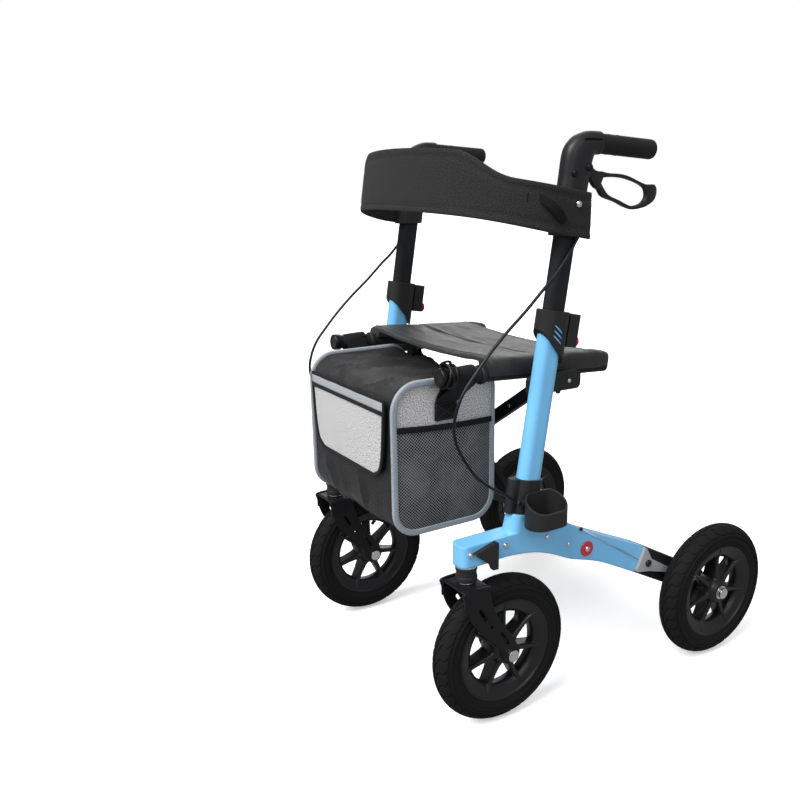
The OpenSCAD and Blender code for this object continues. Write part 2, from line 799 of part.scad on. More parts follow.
// Clamp collar with its slanted lower edge, slits and lock block
module collar() {
    front = -collar_d / 2;
    rise = collar_front_share * collar_l;
    color("#1c1d1f")
        along_upright()
            difference() {
                union() {
                    difference() {
                        translate([0, 0, collar_t0]) linear_extrude(collar_l) oval(collar_w, collar_d);
                        side_plate(0, 2 * collar_w)
                            polygon([[2 * front, collar_t0 - over], [-front, collar_t0 - over],
                                     [-front, collar_t0],
                                     [front, collar_t0 + rise], [2 * front, collar_t0 + rise]]);
                    }
                    translate([-lock_w / 2, lock_y, collar_t1 - over - lock_h])
                        cube([lock_w, lock_d + over, lock_h]);
                }
                translate([0, 0, collar_t0 - over])
                    linear_extrude(upright_l - collar_t0 + over + fit)
                        oval(upright_w + 2 * fit, upright_d + 2 * fit);
                linear_extrude(collar_t1 + over) oval(tube_w + 2 * slide, tube_d + 2 * slide);
                for (k = [0 : slit_count - 1])
                    translate([upright_w / 2, 0, collar_t0 + rise - slit_pitch / 2 + (k - 1) * slit_pitch])
                        rotate([-slit_turn, 0, 0])
                            cube([2 * collar_wall + over, slit_l, slit_w], center = true);
                translate([0, lock_y + lock_d + 2 * over, button_t])
                    rotate([90, 0, 0])
                        cylinder(h = lock_d * (1 - button_share) + 2 * over, r = button_r + slide);
            }
}

// Spring button that frees the handle tube
module lock_button() {
    face = lock_y + lock_d + over;
    color("#c8141c")
        along_upright(button_t)
            translate([0, face + button_proud, 0])
                rotate([90, 0, 0])
                    cylinder(h = lock_d * (1 - button_share) - clear, r = button_r);
}

// Black rear arm that carries the rear axle
module rear_arm() {
    start = (arm_end_high + arm_end_low) / 2;
    along = unit(rear_hub - start);
    across = [-along[1], along[0]];
    color("#1a1b1d")
        difference() {
            side_plate(side_x, beam_w) {
                polygon([arm_end_low + fit * along, arm_end_high + fit * along,
                         rear_hub + (arm_eye_r - fit) * across, rear_hub - (arm_eye_r - fit) * across]);
                translate(rear_hub) circle(arm_eye_r);
            }
            cross_rod(beam_in_x - over, beam_out_x + over, rear_hub, axle_r + run);
        }
}

// Grey brake arm that the wire pulls
module brake_arm() {
    color("#8a8d90")
        difference() {
            side_plate(beam_out_x + slide + arm_t / 2, arm_t)
                polygon([for (s = arm_shares) arm_pin + arm_reach * s]);
            cross_rod(beam_out_x - over, beam_out_x + arm_t + over, arm_pin, pivot_r + run);
        }
}

// Black wedge on the beam's outer face that keeps kerbs off the caster
module kerb_guard() {
    color("#202022")
        side_plate(beam_out_x + kerb_t / 2, kerb_t)
            polygon([for (s = kerb_shares) [kerb_tip_y + s[0] * kerb_l, beam_top_z + s[1] * kerb_h]]);
}

// Bracket behind the upright, with the shelf that the seat rail rests on
module rail_bracket() {
    plate_x = side_x - upright_w / 2 - fit - bracket_t / 2;
    shelf_s = bracket_rear_y - brace_y;
    top_z = rail_z - rail_r - rest_gap - shelf_s * sin(rail_tilt);
    high_z = top_z + bracket_rise;
    hold_z = min(high_z, collar_low_z - clear);
    low_z = hold_z - bracket_h;
    front_y = axis_y(low_z) - upright_d / 3;
    behind_y = axis_y(high_z) + collar_d / 2 + clear;
    color("#1d1e20") {
        side_plate(plate_x, bracket_t) {
            round_box([front_y, low_z], [bracket_rear_y, hold_z], bracket_corner_r);
            round_box([behind_y, low_z], [bracket_rear_y, high_z], bracket_corner_r);
        }
        rail_prism(shelf_s - shelf_l, shelf_s)
            translate([rail_x - rail_r, -rail_r - rest_gap - shelf_h])
                square([plate_x - rail_x + rail_r, shelf_h]);
    }
}

// Screw heads on the frame, and the shoulder screw of the brake arm
module frame_screws() {
    arm_out_x = beam_out_x + slide + arm_t + slide;
    hinge = beam_point(hinge_screw_share);
    color("#d3d6d9") {
        for (s = screw_shares)
            cross_rod(beam_out_x, beam_out_x + screw_t, beam_point(s), screw_r);
        cross_rod(beam_out_x, beam_out_x + screw_t, hinge, hinge_screw_r);
        cross_rod(beam_out_x, arm_out_x, arm_pin, pivot_r);
        cross_rod(arm_out_x, arm_out_x + screw_t, arm_pin, hinge_screw_r);
    }
}

// Oval handle tube that telescopes in the upright
module handle_tube() {
    color("#2b2d30")
        along_upright(tube_base)
            linear_extrude(handle_tube_l)
                difference() {
                    oval(tube_w, tube_d);
                    oval(tube_w - 2 * tube_wall, tube_d - 2 * tube_wall);
                }
}

// Side view of the handle housing: a leaning neck and its bend to the grip
module housing_outline() {
    translate([bend_y, bend_z])
        polygon(bend_r * concat(curve(housing_front_shares, steps), housing_rear_shares));
}

// Black handle housing, with the lever's slot and the grip's spigot
module handle_housing() {
    slot_drop = lever_bar_r - lever_shares[0][1] * lever_l;
    color("#1a1b1d") {
        difference() {
            side_plate(side_x, housing_w) housing_outline();
            along_upright(tube_base)
                linear_extrude(handle_tube_l + fit)
                    oval(tube_w + 2 * fit, tube_d + 2 * fit);
            side_plate(side_x, lever_t + 2 * clear) {
                translate(pivot) circle(slot_r);
                translate(pivot - [slot_r, slot_drop]) square([bend_r, slot_drop + slot_r]);
            }
            cross_rod(side_x - housing_w, side_x + housing_w, pivot, pivot_r + run);
            cross_rod(side_x, back_in_x + over, [back_bolt_y, back_bolt_z], back_bolt_shank_r + fit);
        }
        translate([side_x, grip_y, grip_z])
            rotate([-90 - grip_slope, 0, 0])
                translate([0, 0, -grip_r]) cylinder(h = grip_l, r = spigot_r);
    }
}

// Rubber grip on the spigot
module grip() {
    color("#262628")
        translate([side_x, grip_y, grip_z])
            rotate([-90 - grip_slope, 0, 0])
                difference() {
                    cylinder(h = grip_l, r = grip_r);
                    translate([0, 0, -over]) cylinder(h = grip_l - grip_r + over + fit, r = spigot_r + fit);
                }
}

// Loop brake lever
module brake_lever() {
    loop = [for (s = lever_shares) pivot + lever_l * s];
    color("#202124")
        difference() {
            side_plate(side_x, lever_t) {
                translate(pivot) circle(lever_root_r);
                link(pivot, loop[0], lever_bar_r);
                for (k = [0 : len(loop) - 1])
                    link(loop[k], loop[(k + 1) % len(loop)], lever_bar_r);
            }
            cross_rod(side_x - lever_t, side_x + lever_t, pivot, pivot_r + run);
        }
}

// Lever pivot screw and backrest bolt
module handle_screws() {
    half = housing_w / 2;
    bolt_in_x = side_x + tube_w / 2;
    color("#c9ccd0") {
        cross_rod(side_x - half, side_x + half, pivot, pivot_r);
        for (e = [-1, 1])
            translate([side_x + e * (half + pivot_head_t / 2), pivot[0], pivot[1]])
                rotate([0, 90, 0]) cylinder(h = pivot_head_t, r = pivot_head_r, center = true);
        cross_rod(bolt_in_x, back_in_x + back_t, [back_bolt_y, back_bolt_z], back_bolt_shank_r);
        cross_rod(back_in_x + back_t, back_in_x + back_t + back_bolt_t, [back_bolt_y, back_bolt_z],
                  back_bolt_r);
    }
}

// Brake cable in its loop, and the bare wire to the brake arm
module brake_cable() {
    route = curve(cable_route, cable_steps);
    wire_from = [beam_out_x + 2 * wire_r, arm_wire_start()[0], arm_wire_start()[1]];
    wire_to = [beam_out_x + 2 * wire_r, arm_wire_end()[0], arm_wire_end()[1]];
    color("#111214") {
        swept_tube(route, cable_r, cable_sides);
        wire(wire_from, wire_to);
    }
}
function arm_wire_start() = beam_point([0.61, 0.17]) - [0, wire_r];
function arm_wire_end() = arm_pin + arm_reach * [-0.33, 0.17];

// Straight wire between two points
module wire(a, b) {
    d = b - a;
    translate(a)
        rotate([0, acos(d[2] / norm(d)), atan2(d[1], d[0])])
            cylinder(h = norm(d), r = wire_r);
}

// Seat rail with its end cap and the lug of a brace bar
module seat_rail(bar_y) {
    lug_y = bar_y - bar_t / 2 - clear - lug_t / 2;
    stud_end_y = bar_y + bar_t / 2 + clear;
    color("#191a1c")
        difference() {
            union() {
                rail_rod(rail_x, -rail_fore, rail_aft, rail_r);
                rail_rod(rail_x, -rail_fore, rail_cap_l - rail_fore, rail_cap_r);
                front_plate(lug_y, lug_t)
                    link([rail_x, brace_high_z], [rail_x, rail_z - rail_r], lug_r - over);
                long_rod(lug_y, stud_end_y + stud_head_t, [rail_x, brace_high_z], stud_r);
                long_rod(stud_end_y, stud_end_y + stud_head_t, [rail_x, brace_high_z], stud_head_r);
            }
            rail_rod(rail_x, -rail_fore - over, rail_aft + over, rail_r - rail_wall);
        }
}

// Where the two brace bars cross
function brace_middle() =
    [0, brace_low_z + (brace_high_z - brace_low_z) * brace_low_x / (brace_low_x + rail_x)];

// Brace bar from a low pivot to a high one, with its eyes and a bore in the middle
module brace_bar(low_x, high_x, bar_y, middle_r) {
    low = [low_x, brace_low_z];
    high = [high_x, brace_high_z];
    difference() {
        front_plate(bar_y, bar_t) link(low, high, bar_r);
        for (p = [low, high])
            long_rod(bar_y - bar_t, bar_y + bar_t, p, stud_r + run);
        if (middle_r > 0)
            long_rod(bar_y - bar_t, bar_y + bar_t, brace_middle(), middle_r);
    }
}

// Brace bar from the left frame, which carries the middle pin
module cross_bar_a() {
    head_y = bar_y_b + bar_t / 2 + clear;
    color("#18191b") {
        brace_bar(brace_low_x, -rail_x, bar_y_a, 0);
        long_rod(bar_y_a, head_y + stud_head_t, brace_middle(), pin_r);
        long_rod(bar_y_a, bar_y_b - bar_t / 2 - clear, brace_middle(), stud_head_r);
        long_rod(head_y, head_y + stud_head_t, brace_middle(), stud_head_r);
    }
}

// Brace bar from the right frame
module cross_bar_b() {
    color("#1b1c1e") brace_bar(-brace_low_x, rail_x, bar_y_b, pin_r + run);
}

// Arc of a sleeve round a seat rail, from angle a to angle b
function sleeve_arc(x, r, a, b) =
    [for (k = [0 : sling_steps]) let (t = a + (b - a) * k / sling_steps) [x + r * cos(t), r * sin(t)]];

// Sagging line of the seat from one rail to the other, h over the rails' axes
function sag_line(from_x, h) =
    [for (k = [1 : sling_steps - 1]) let (u = 1 - 2 * k / sling_steps)
        [u * from_x, h - seat_sag * (1 - u * u)]];

// Outside of the padded sleeve over the left rail, from its lower edge over the top
function pad_out() = concat(
    [[rail_x + sling_out_r * cos(90 - sling_wrap), sling_out_r * sin(90 - sling_wrap)]],
    [for (p = pad_out_shares) [rail_x + p[0] * sling_out_r, p[1] * sling_out_r]]);

// Inside of the same sleeve, from its lower edge round the rail to the sling
function pad_in() = concat(
    sleeve_arc(rail_x, sling_in_r, 90 - sling_wrap, sling_close),
    [for (p = pad_in_shares) [rail_x + p[0] * sling_out_r, p[1] * sling_out_r]]);

// Points turned over to the other rail, in reverse order
function other_rail(points) = [for (k = [len(points) - 1 : -1 : 0]) [-points[k][0], points[k][1]]];

// Points in reverse order
function turned(points) = [for (k = [len(points) - 1 : -1 : 0]) points[k]];

// Seat sling, which sags between two padded sleeves over the rails
module seat_sling() {
    color("#1e1e20") {
        rail_prism(-seat_fore, seat_aft)
            polygon(concat(
                pad_out(), sag_line(rail_x, seat_h), other_rail(pad_out()),
                turned(other_rail(pad_in())), sag_line(-rail_x, seat_h - seat_t), turned(pad_in())));
        for (e = [0, 1])
            mirror([e, 0, 0])
                rail_prism(seat_aft - over, pad_aft) polygon(concat(pad_out(), turned(pad_in())));
    }
}

// Plan of the backrest band: two straight ends and a half oval bow
function back_plan(x, bow) = concat(
    [[x, back_end_y]],
    [for (k = [0 : back_steps]) let (a = 180 * k / back_steps) [x * cos(a), back_bow_y - bow * sin(a)]],
    [[-x, back_end_y]]);

// Curved backrest band, taller in the middle and square to the handle tubes
module backrest() {
    outer = back_plan(back_in_x + back_t, back_bow);
    inner = back_plan(back_in_x, back_bow - back_t);
    high = [for (s = curve(back_edge_shares, steps))
        [s[0] * back_x, back_end_h + s[1] * (back_mid_h - back_end_h)]];
    low_x = back_edge_shares[0][0] * back_x;
    last = len(high) - 1;
    color("#232325")
        difference() {
            intersection() {
                linear_extrude(back_low_z + back_mid_h + back_bow)
                    polygon(concat(outer, [for (k = [len(inner) - 1 : -1 : 0]) inner[k]]));
                translate([0, back_end_y, back_low_z])
                    rotate([-upright_tilt, 0, 0])
                        front_plate(0, 4 * back_bow + 2 * back_tab_l)
                            polygon(concat(high, [for (k = [last - 1 : -1 : 0]) [-high[k][0], high[k][1]]],
                                           [[-low_x, 0], [low_x, 0]]));
            }
            for (e = [-1, 1])
                translate([e * back_x, back_bolt_y, back_bolt_z])
                    rotate([0, 90, 0]) cylinder(h = 2 * back_t, r = back_bolt_shank_r + fit, center = true);
        }
}

// Bag under the rails' front ends, hollow behind its mouth, with its hem and two straps
module bag_body() {
    ring_out = rail_r + slide + strap_t;
    low = [bag_front_y, bag_base_z];
    high = [bag_back_y, bag_top_z];
    skin = [bag_wall, bag_wall];
    strap_top = bag_top_z + rail_r;
    strap_y = brace_y - strap_fore + strap_w / 2;
    mouth_h = mouth_h_share * flap_h;
    color("#3a3b3d")
        difference() {
            union() {
                difference() {
                    side_plate(0, 2 * bag_x) round_box(low, high, bag_corner_r);
                    side_plate(0, 2 * bag_x - 2 * bag_wall)
                        round_box(low + skin, high - skin, bag_corner_r - bag_wall);
                }
                translate([-flap_x, bag_front_y - flap_t / 2, flap_top_z + slide])
                    cube([2 * flap_x, hem_d, hem_h]);
                for (e = [-1, 1]) {
                    rail_rod(e * rail_x, -strap_fore, strap_w - strap_fore, ring_out);
                    translate([e * (bag_x + strap_t / 2), strap_y, strap_top - strap_drop + patch_h / 2])
                        cube([2 * strap_t, strap_w, patch_h], center = true);
                    hull() {
                        translate([e * (bag_x + strap_t / 2), strap_y,
                                   strap_top - strap_drop + patch_h - over])
                            cube([2 * strap_t, strap_w, 2 * over], center = true);
                        translate([e * (rail_x - ring_out + strap_t), strap_y, strap_top - rail_r / 2])
                            cube([2 * strap_t, strap_w, 2 * over], center = true);
                    }
                }
            }
            for (e = [-1, 1])
                rail_rod(e * rail_x, -rail_fore, strap_w, rail_r + slide);
            translate([-mouth_x_share * flap_x, bag_front_y - over, flap_top_z - mouth_h - hem_h])
                cube([2 * mouth_x_share * flap_x, bag_wall + 2 * over, mouth_h]);
        }
}

// Front flap of the bag, sewn under the hem
module bag_flap() {
    low_x = flap_taper_share * flap_x;
    low_z = flap_top_z - flap_h;
    cut = flap_corner_share * flap_h;
    color("#b9bbbd")
        front_plate(bag_front_y - slide - flap_t / 2, flap_t)
            polygon([[-flap_x, flap_top_z], [flap_x, flap_top_z], [low_x, low_z + cut], [low_x - cut, low_z],
                     [cut - low_x, low_z], [-low_x, low_z + cut]]);
}

on_side("left") base_beam(bar_y_a);  // base_beam_left
on_side("left") upright();  // upright_left
on_side("left") foot_sleeve(true);  // foot_sleeve_left
on_side("left") collar();  // collar_left
on_side("left") lock_button();  // lock_button_left
on_side("left") bearing_cup();  // bearing_cup_left
on_side("left") caster_fork();  // caster_fork_left
on_side("left") front_axle();  // front_axle_left
on_side("left") at_hub(side_x, front_hub_y) tyre();  // front_tyre_left
on_side("left") at_hub(side_x, front_hub_y) rim();  // front_rim_left
on_side("left") at_hub(side_x, front_hub_y) bearings();  // front_bearings_left
on_side("left") rear_arm();  // rear_arm_left
on_side("left") brake_arm();  // brake_arm_left
on_side("left") rear_axle();  // rear_axle_left
on_side("left") at_hub(rear_x, rear_hub_y) tyre();  // rear_tyre_left
on_side("left") at_hub(rear_x, rear_hub_y) rim();  // rear_rim_left
on_side("left") at_hub(rear_x, rear_hub_y) bearings();  // rear_bearings_left
on_side("left") rail_bracket();  // rail_bracket_left
on_side("left") kerb_guard();  // kerb_guard_left
on_side("left") frame_screws();  // frame_screws_left
on_side("left") handle_tube();  // handle_tube_left
on_side("left") handle_housing();  // handle_housing_left
on_side("left") grip();  // grip_left
on_side("left") brake_lever();  // brake_lever_left
on_side("left") handle_screws();  // handle_screws_left
on_side("left") brake_cable();  // brake_cable_left
on_side("left") seat_rail(bar_y_b);  // seat_rail_left
on_side("right") base_beam(bar_y_b);  // base_beam_right
on_side("right") upright();  // upright_right
on_side("right") foot_sleeve(false);  // foot_sleeve_right
on_side("right") collar();  // collar_right
on_side("right") lock_button();  // lock_button_right
on_side("right") bearing_cup();  // bearing_cup_right
on_side("right") caster_fork();  // caster_fork_right
on_side("right") front_axle();  // front_axle_right
on_side("right") at_hub(side_x, front_hub_y) tyre();  // front_tyre_right
on_side("right") at_hub(side_x, front_hub_y) rim();  // front_rim_right
on_side("right") at_hub(side_x, front_hub_y) bearings();  // front_bearings_right
on_side("right") rear_arm();  // rear_arm_right
on_side("right") brake_arm();  // brake_arm_right
on_side("right") rear_axle();  // rear_axle_right
on_side("right") at_hub(rear_x, rear_hub_y) tyre();  // rear_tyre_right
on_side("right") at_hub(rear_x, rear_hub_y) rim();  // rear_rim_right
on_side("right") at_hub(rear_x, rear_hub_y) bearings();  // rear_bearings_right
on_side("right") rail_bracket();  // rail_bracket_right
on_side("right") kerb_guard();  // kerb_guard_right
on_side("right") frame_screws();  // frame_screws_right
on_side("right") handle_tube();  // handle_tube_right
on_side("right") handle_housing();  // handle_housing_right
on_side("right") grip();  // grip_right
on_side("right") brake_lever();  // brake_lever_right
on_side("right") handle_screws();  // handle_screws_right
on_side("right") brake_cable();  // brake_cable_right
on_side("right") seat_rail(bar_y_a);  // seat_rail_right
cross_bar_a();
cross_bar_b();
seat_sling();
backrest();
bag_body();
bag_flap();
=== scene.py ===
"""Looks of an all terrain rollator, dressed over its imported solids.

Metres, front toward -Y, +X on the walker's left.
"""
import math

import bmesh
import bpy
from mathutils import Matrix, Vector, noise


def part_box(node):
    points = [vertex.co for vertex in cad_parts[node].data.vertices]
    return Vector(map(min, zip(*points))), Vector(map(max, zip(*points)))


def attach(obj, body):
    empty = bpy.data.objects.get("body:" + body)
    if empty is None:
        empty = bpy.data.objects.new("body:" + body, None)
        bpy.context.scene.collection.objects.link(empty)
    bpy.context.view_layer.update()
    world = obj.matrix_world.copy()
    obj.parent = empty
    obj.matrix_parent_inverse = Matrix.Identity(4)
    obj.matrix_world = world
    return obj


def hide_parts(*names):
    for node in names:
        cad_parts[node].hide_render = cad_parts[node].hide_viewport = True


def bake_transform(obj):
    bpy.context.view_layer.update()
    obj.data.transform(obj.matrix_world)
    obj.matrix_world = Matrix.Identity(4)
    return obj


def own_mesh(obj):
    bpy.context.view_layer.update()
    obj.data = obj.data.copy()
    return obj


bl_info = {
    "name": "All terrain rollator",
    "version": (1, 0, 0),
    "blender": (4, 5, 0),
    "location": "3D View > Sidebar > Rollator",
    "description": "Dresses the solids of a folding walking frame with wheels, cloth, trim and materials",
    "category": "Object",
}

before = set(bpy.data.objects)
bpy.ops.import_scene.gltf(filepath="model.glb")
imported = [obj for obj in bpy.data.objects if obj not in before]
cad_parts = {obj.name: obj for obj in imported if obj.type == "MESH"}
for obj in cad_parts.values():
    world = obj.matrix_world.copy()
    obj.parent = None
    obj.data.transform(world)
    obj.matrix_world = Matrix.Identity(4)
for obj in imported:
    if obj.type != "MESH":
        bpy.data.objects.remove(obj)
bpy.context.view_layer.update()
SIDES = (("left", 1.0), ("right", -1.0))
# Sizes in millimetres are multiplied by MM where they are used. The rest are in metres.
MM = 0.001


# Sizes and colours that a user may change


class RollatorColours(bpy.types.PropertyGroup):
    """Colours of the main surfaces, as linear values"""

    frame_blue: bpy.props.FloatVectorProperty(
        name="Frame", description="Powder coat of the castings and uprights", subtype="COLOR", size=3,
        min=0.0, max=1.0, default=(0.18, 0.51, 0.84))
    black: bpy.props.FloatVectorProperty(
        name="Mouldings", description="Black plastic mouldings", subtype="COLOR", size=3,
        min=0.0, max=1.0, default=(0.014, 0.014, 0.015))
    rubber: bpy.props.FloatVectorProperty(
        name="Tyres", description="Rubber of the tyres", subtype="COLOR", size=3,
        min=0.0, max=1.0, default=(0.012, 0.012, 0.0125))
    melange: bpy.props.FloatVectorProperty(
        name="Melange", description="Light grey cloth of the bag", subtype="COLOR", size=3,
        min=0.0, max=1.0, default=(0.64, 0.63, 0.63))
    tape: bpy.props.FloatVectorProperty(
        name="Binding", description="Silver grey binding tape of the bag", subtype="COLOR", size=3,
        min=0.0, max=1.0, default=(0.33, 0.37, 0.42))
    accent: bpy.props.FloatVectorProperty(
        name="Accent", description="Red of the buttons and washers", subtype="COLOR", size=3,
        min=0.0, max=1.0, default=(0.62, 0.012, 0.02))


class RollatorSizes(bpy.types.PropertyGroup):
    """Sizes of what the solids leave plain"""

    lug_count: bpy.props.IntProperty(
        name="Tread lugs", description="Lugs on each shoulder of a tyre", min=16, max=60, default=34)
    lug_height: bpy.props.FloatProperty(
        name="Tread depth", description="Height of a tread lug", subtype="DISTANCE", unit="LENGTH",
        min=0.001, max=0.004, default=0.0016)
    spoke_count: bpy.props.IntProperty(
        name="Spokes", description="Spokes of a rim", min=5, max=9, default=7)
    stitch_pitch: bpy.props.FloatProperty(
        name="Stitch pitch", description="Distance from one stitch to the next", subtype="DISTANCE",
        unit="LENGTH", min=0.003, max=0.012, default=0.0052)
    tape_width: bpy.props.FloatProperty(
        name="Binding width", description="Width of the bag's binding tape", subtype="DISTANCE",
        unit="LENGTH", min=0.005, max=0.014, default=0.0105)


def colours():
    """The scene's colours of the main surfaces."""
    return bpy.context.scene.rollator_colours


def sizes():
    """The scene's sizes of tread, spokes, stitches and binding."""
    return bpy.context.scene.rollator_sizes


# Curves and meshes

AXES = {"X": ((1, 0, 0), (0, 1, 0), (0, 0, 1)), "Z": ((0, 0, 1), (1, 0, 0), (0, 1, 0))}
JOIN_DISTANCE = 1e-6
FLAT_EDGE = 1e-7


def mm(points):
    """Points given in millimetres, in metres."""
    return [tuple(value * MM for value in point) for point in points]


def held_in(value):
    """The value, kept between 0 and 1."""
    return min(max(value, 0.0), 1.0)


def squared(value, power):
    """A sine or cosine drawn towards a square's corner, with its sign."""
    return math.copysign(abs(value) ** power, value)


def angles(count, shift=0.0):
    """Angles at even steps round a turn, shifted by a share of a step."""
    return [2 * math.pi * (k + shift) / count for k in range(count)]


def bend(points, steps, closed=False):
    """Smooth curve through points, as a list of vectors."""
    p = [Vector(q) for q in points]
    n = len(p)
    out = []
    for i in range(n if closed else n - 1):
        if closed:
            a, b, c, d = p[i - 1], p[i], p[(i + 1) % n], p[(i + 2) % n]
        else:
            a, b, c, d = p[max(i - 1, 0)], p[i], p[i + 1], p[min(i + 2, n - 1)]
        for k in range(steps):
            t = k / steps
            out.append((2 * b + (c - a) * t + (2 * a - 5 * b + 4 * c - d) * t * t
                        + (3 * b - a - 3 * c + d) * t ** 3) / 2)
    if not closed:
        out.append(p[-1])
    return out


def on_side(x, outline, steps, closed=False):
    """Smooth curve through (y, z) points in millimetres, in a plane across X."""
    return bend([(x, y * MM, z * MM) for y, z in outline], steps, closed)


def drawn(pairs, steps):
    """Smooth curve through pairs of values, as pairs."""
    return [(p.x, p.y) for p in bend([(a, b, 0) for a, b in pairs], steps)]


def flat(points):
    """The (y, z) pairs of points."""
    return [(p.y, p.z) for p in points]


def mirrored(half):
    """Closed profile from its half, as (along, radius) pairs."""
    return [(-along, r) for along, r in half] + [(along, r) for along, r in reversed(half)]


def oval(a, b, half, sides, power_along, power_x):
    """Ring between two opposite points, half wide along X, squared by two powers."""
    ring = []
    for t in angles(sides, 0.5):
        c, n = squared(math.cos(t), power_along), squared(math.sin(t), power_x)
        ring.append((a + b) / 2 + (a - b) / 2 * c + Vector((half * n, 0, 0)))
    return ring


def round_rect(y0, z0, y1, z1, radii, steps):
    """Rectangle with its own radius at each corner, from the low front corner round by the rear."""
    corners = ((y0, z0, 180), (y1, z0, 270), (y1, z1, 0), (y0, z1, 90))
    out = []
    for (y, z, start), r in zip(corners, radii):
        cy = y + r if y == y0 else y - r
        cz = z + r if z == z0 else z - r
        for k in range(steps + 1):
            a = math.radians(start + 90 * k / steps)
            out.append((cy + r * math.cos(a), cz + r * math.sin(a)))
    return out


def spaced(loop, pitch):
    """A closed loop with points at an even pitch."""
    p = [Vector(q) for q in loop]
    p.append(p[0])
    lengths = [0.0]
    for a, b in zip(p, p[1:]):
        lengths.append(lengths[-1] + (b - a).length)
    count = max(3, round(lengths[-1] / pitch))
    out = []
    i = 0
    for k in range(count):
        d = lengths[-1] * k / count
        while i < len(p) - 2 and lengths[i + 1] < d:
            i += 1
        span = lengths[i + 1] - lengths[i] or 1.0
        out.append(p[i].lerp(p[i + 1], (d - lengths[i]) / span))
    return out


def rippled(p, scale, amount, seed=0.0):
    """Smooth noise at a point."""
    return amount * noise.noise(Vector((p[0] * scale + seed, p[1] * scale, p[2] * scale)))


def put_in_scene(name, data):
    """New object in the scene's collection."""
    obj = bpy.data.objects.new(name, data)
    bpy.context.collection.objects.link(obj)
    return obj


def smooth_all(mesh):
    """Shades every face smooth."""
    mesh.polygons.foreach_set("use_smooth", [True] * len(mesh.polygons))


def mesh_object(name, verts, faces):
    """Smooth object from points and faces."""
    mesh = bpy.data.meshes.new(name)
    mesh.from_pydata([tuple(v) for v in verts], [], faces)
    mesh.update()
    smooth_all(mesh)
    return put_in_scene(name, mesh)


def discard(obj):
    """Removes an object and its mesh."""
    mesh = obj.data
    bpy.data.objects.remove(obj)
    bpy.data.meshes.remove(mesh)


def keep_result(obj):
    """Swaps an object's mesh for what its modifiers make of it."""
    graph = bpy.context.evaluated_depsgraph_get()
    graph.update()
    mesh = bpy.data.meshes.new_from_object(obj.evaluated_get(graph))
    obj.modifiers.clear()
    old = obj.data
    obj.data = mesh
    mesh.name = obj.name
    bpy.data.meshes.remove(old)
    return obj


def outward(obj):
    """Merges doubles and turns the faces of a closed mesh outwards."""
    bm = bmesh.new()
    bm.from_mesh(obj.data)
    bmesh.ops.remove_doubles(bm, verts=bm.verts, dist=JOIN_DISTANCE)
    bmesh.ops.recalc_face_normals(bm, faces=bm.faces)
    bm.to_mesh(obj.data)
    bm.free()
    return obj


def loft(name, rings, closed=False):
    """Skin over closed rings of points. A closed loft also joins the last ring to the first."""
    n = len(rings[0])
    m = len(rings)
    verts = [v for r in rings for v in r]
    faces = []
    for i in range(m if closed else m - 1):
        j = (i + 1) % m
        for k in range(n):
            after = (k + 1) % n
            faces.append((i * n + k, i * n + after, j * n + after, j * n + k))
    if not closed:
        faces.append(tuple(range(n - 1, -1, -1)))
        faces.append(tuple((m - 1) * n + k for k in range(n)))
    return outward(mesh_object(name, verts, faces))


def frames_along(path, closed, up):
    """Pairs of cross directions along a path, turning as little as they can."""
    n = len(path)
    out = []
    u = None
    for i in range(n):
        if closed:
            h = path[(i + 1) % n] - path[i - 1]
        else:
            h = path[min(i + 1, n - 1)] - path[max(i - 1, 0)]
        h.normalize()
        if u is None:
            u = Vector(up) - h * h.dot(Vector(up))
            if u.length < JOIN_DISTANCE:
                u = h.orthogonal()
        else:
            u = u - h * h.dot(u)
        u.normalize()
        out.append((u.copy(), h.cross(u)))
    return out


def sweep(name, path, half_u, half_w, sides=12, closed=False, up=(1, 0, 0), square=1.0):
    """Rounded bar along a path, half_u along the up direction and half_w across it."""
    rings = []
    for p, (u, w) in zip(path, frames_along(path, closed, up)):
        ring = []
        for a in angles(sides, 0.5):
            c, s = squared(math.cos(a), square), squared(math.sin(a), square)
            ring.append(p + u * (half_u * c) + w * (half_w * s))
        rings.append(ring)
    return loft(name, rings, closed)


def lathe(name, profile, centre, axis="X", segments=64, closed=False):
    """Turned piece: profile is a list of (along, radius) pairs. A closed profile is a ring."""
    if isinstance(axis, str):
        d, u, w = (Vector(v) for v in AXES[axis])
    else:
        d = Vector(axis).normalized()
        u = d.orthogonal().normalized()
        w = d.cross(u)
    c = Vector(centre)
    n = len(profile)
    verts, faces = [], []
    for a in angles(segments):
        verts += [c + d * along + u * (r * math.cos(a)) + w * (r * math.sin(a)) for along, r in profile]
    for i in range(segments):
        j = (i + 1) % segments
        for k in range(n if closed else n - 1):
            after = (k + 1) % n
            faces.append((i * n + k, j * n + k, j * n + after, i * n + after))
    return outward(mesh_object(name, verts, faces))


def plate(name, outline, x, thickness, bevel=0.0, segments=3):
    """Plate of a (y, z) outline, centred on x, with rounded edges."""
    bm = bmesh.new()
    face = bm.faces.new([bm.verts.new((x - thickness / 2, y, z)) for y, z in outline])
    new = bmesh.ops.extrude_face_region(bm, geom=[face])
    for v in (g for g in new["geom"] if isinstance(g, bmesh.types.BMVert)):
        v.co.x += thickness
    bmesh.ops.recalc_face_normals(bm, faces=bm.faces)
    if bevel:
        rims = [e for e in bm.edges if abs(e.verts[0].co.x - e.verts[1].co.x) < FLAT_EDGE]
        bmesh.ops.bevel(bm, geom=rims, offset=bevel, segments=segments, profile=0.5, affect="EDGES",
                        clamp_overlap=True)
    mesh = bpy.data.meshes.new(name)
    bm.to_mesh(mesh)
    bm.free()
    obj = put_in_scene(name, mesh)
    shade_by_angle(obj)
    return obj


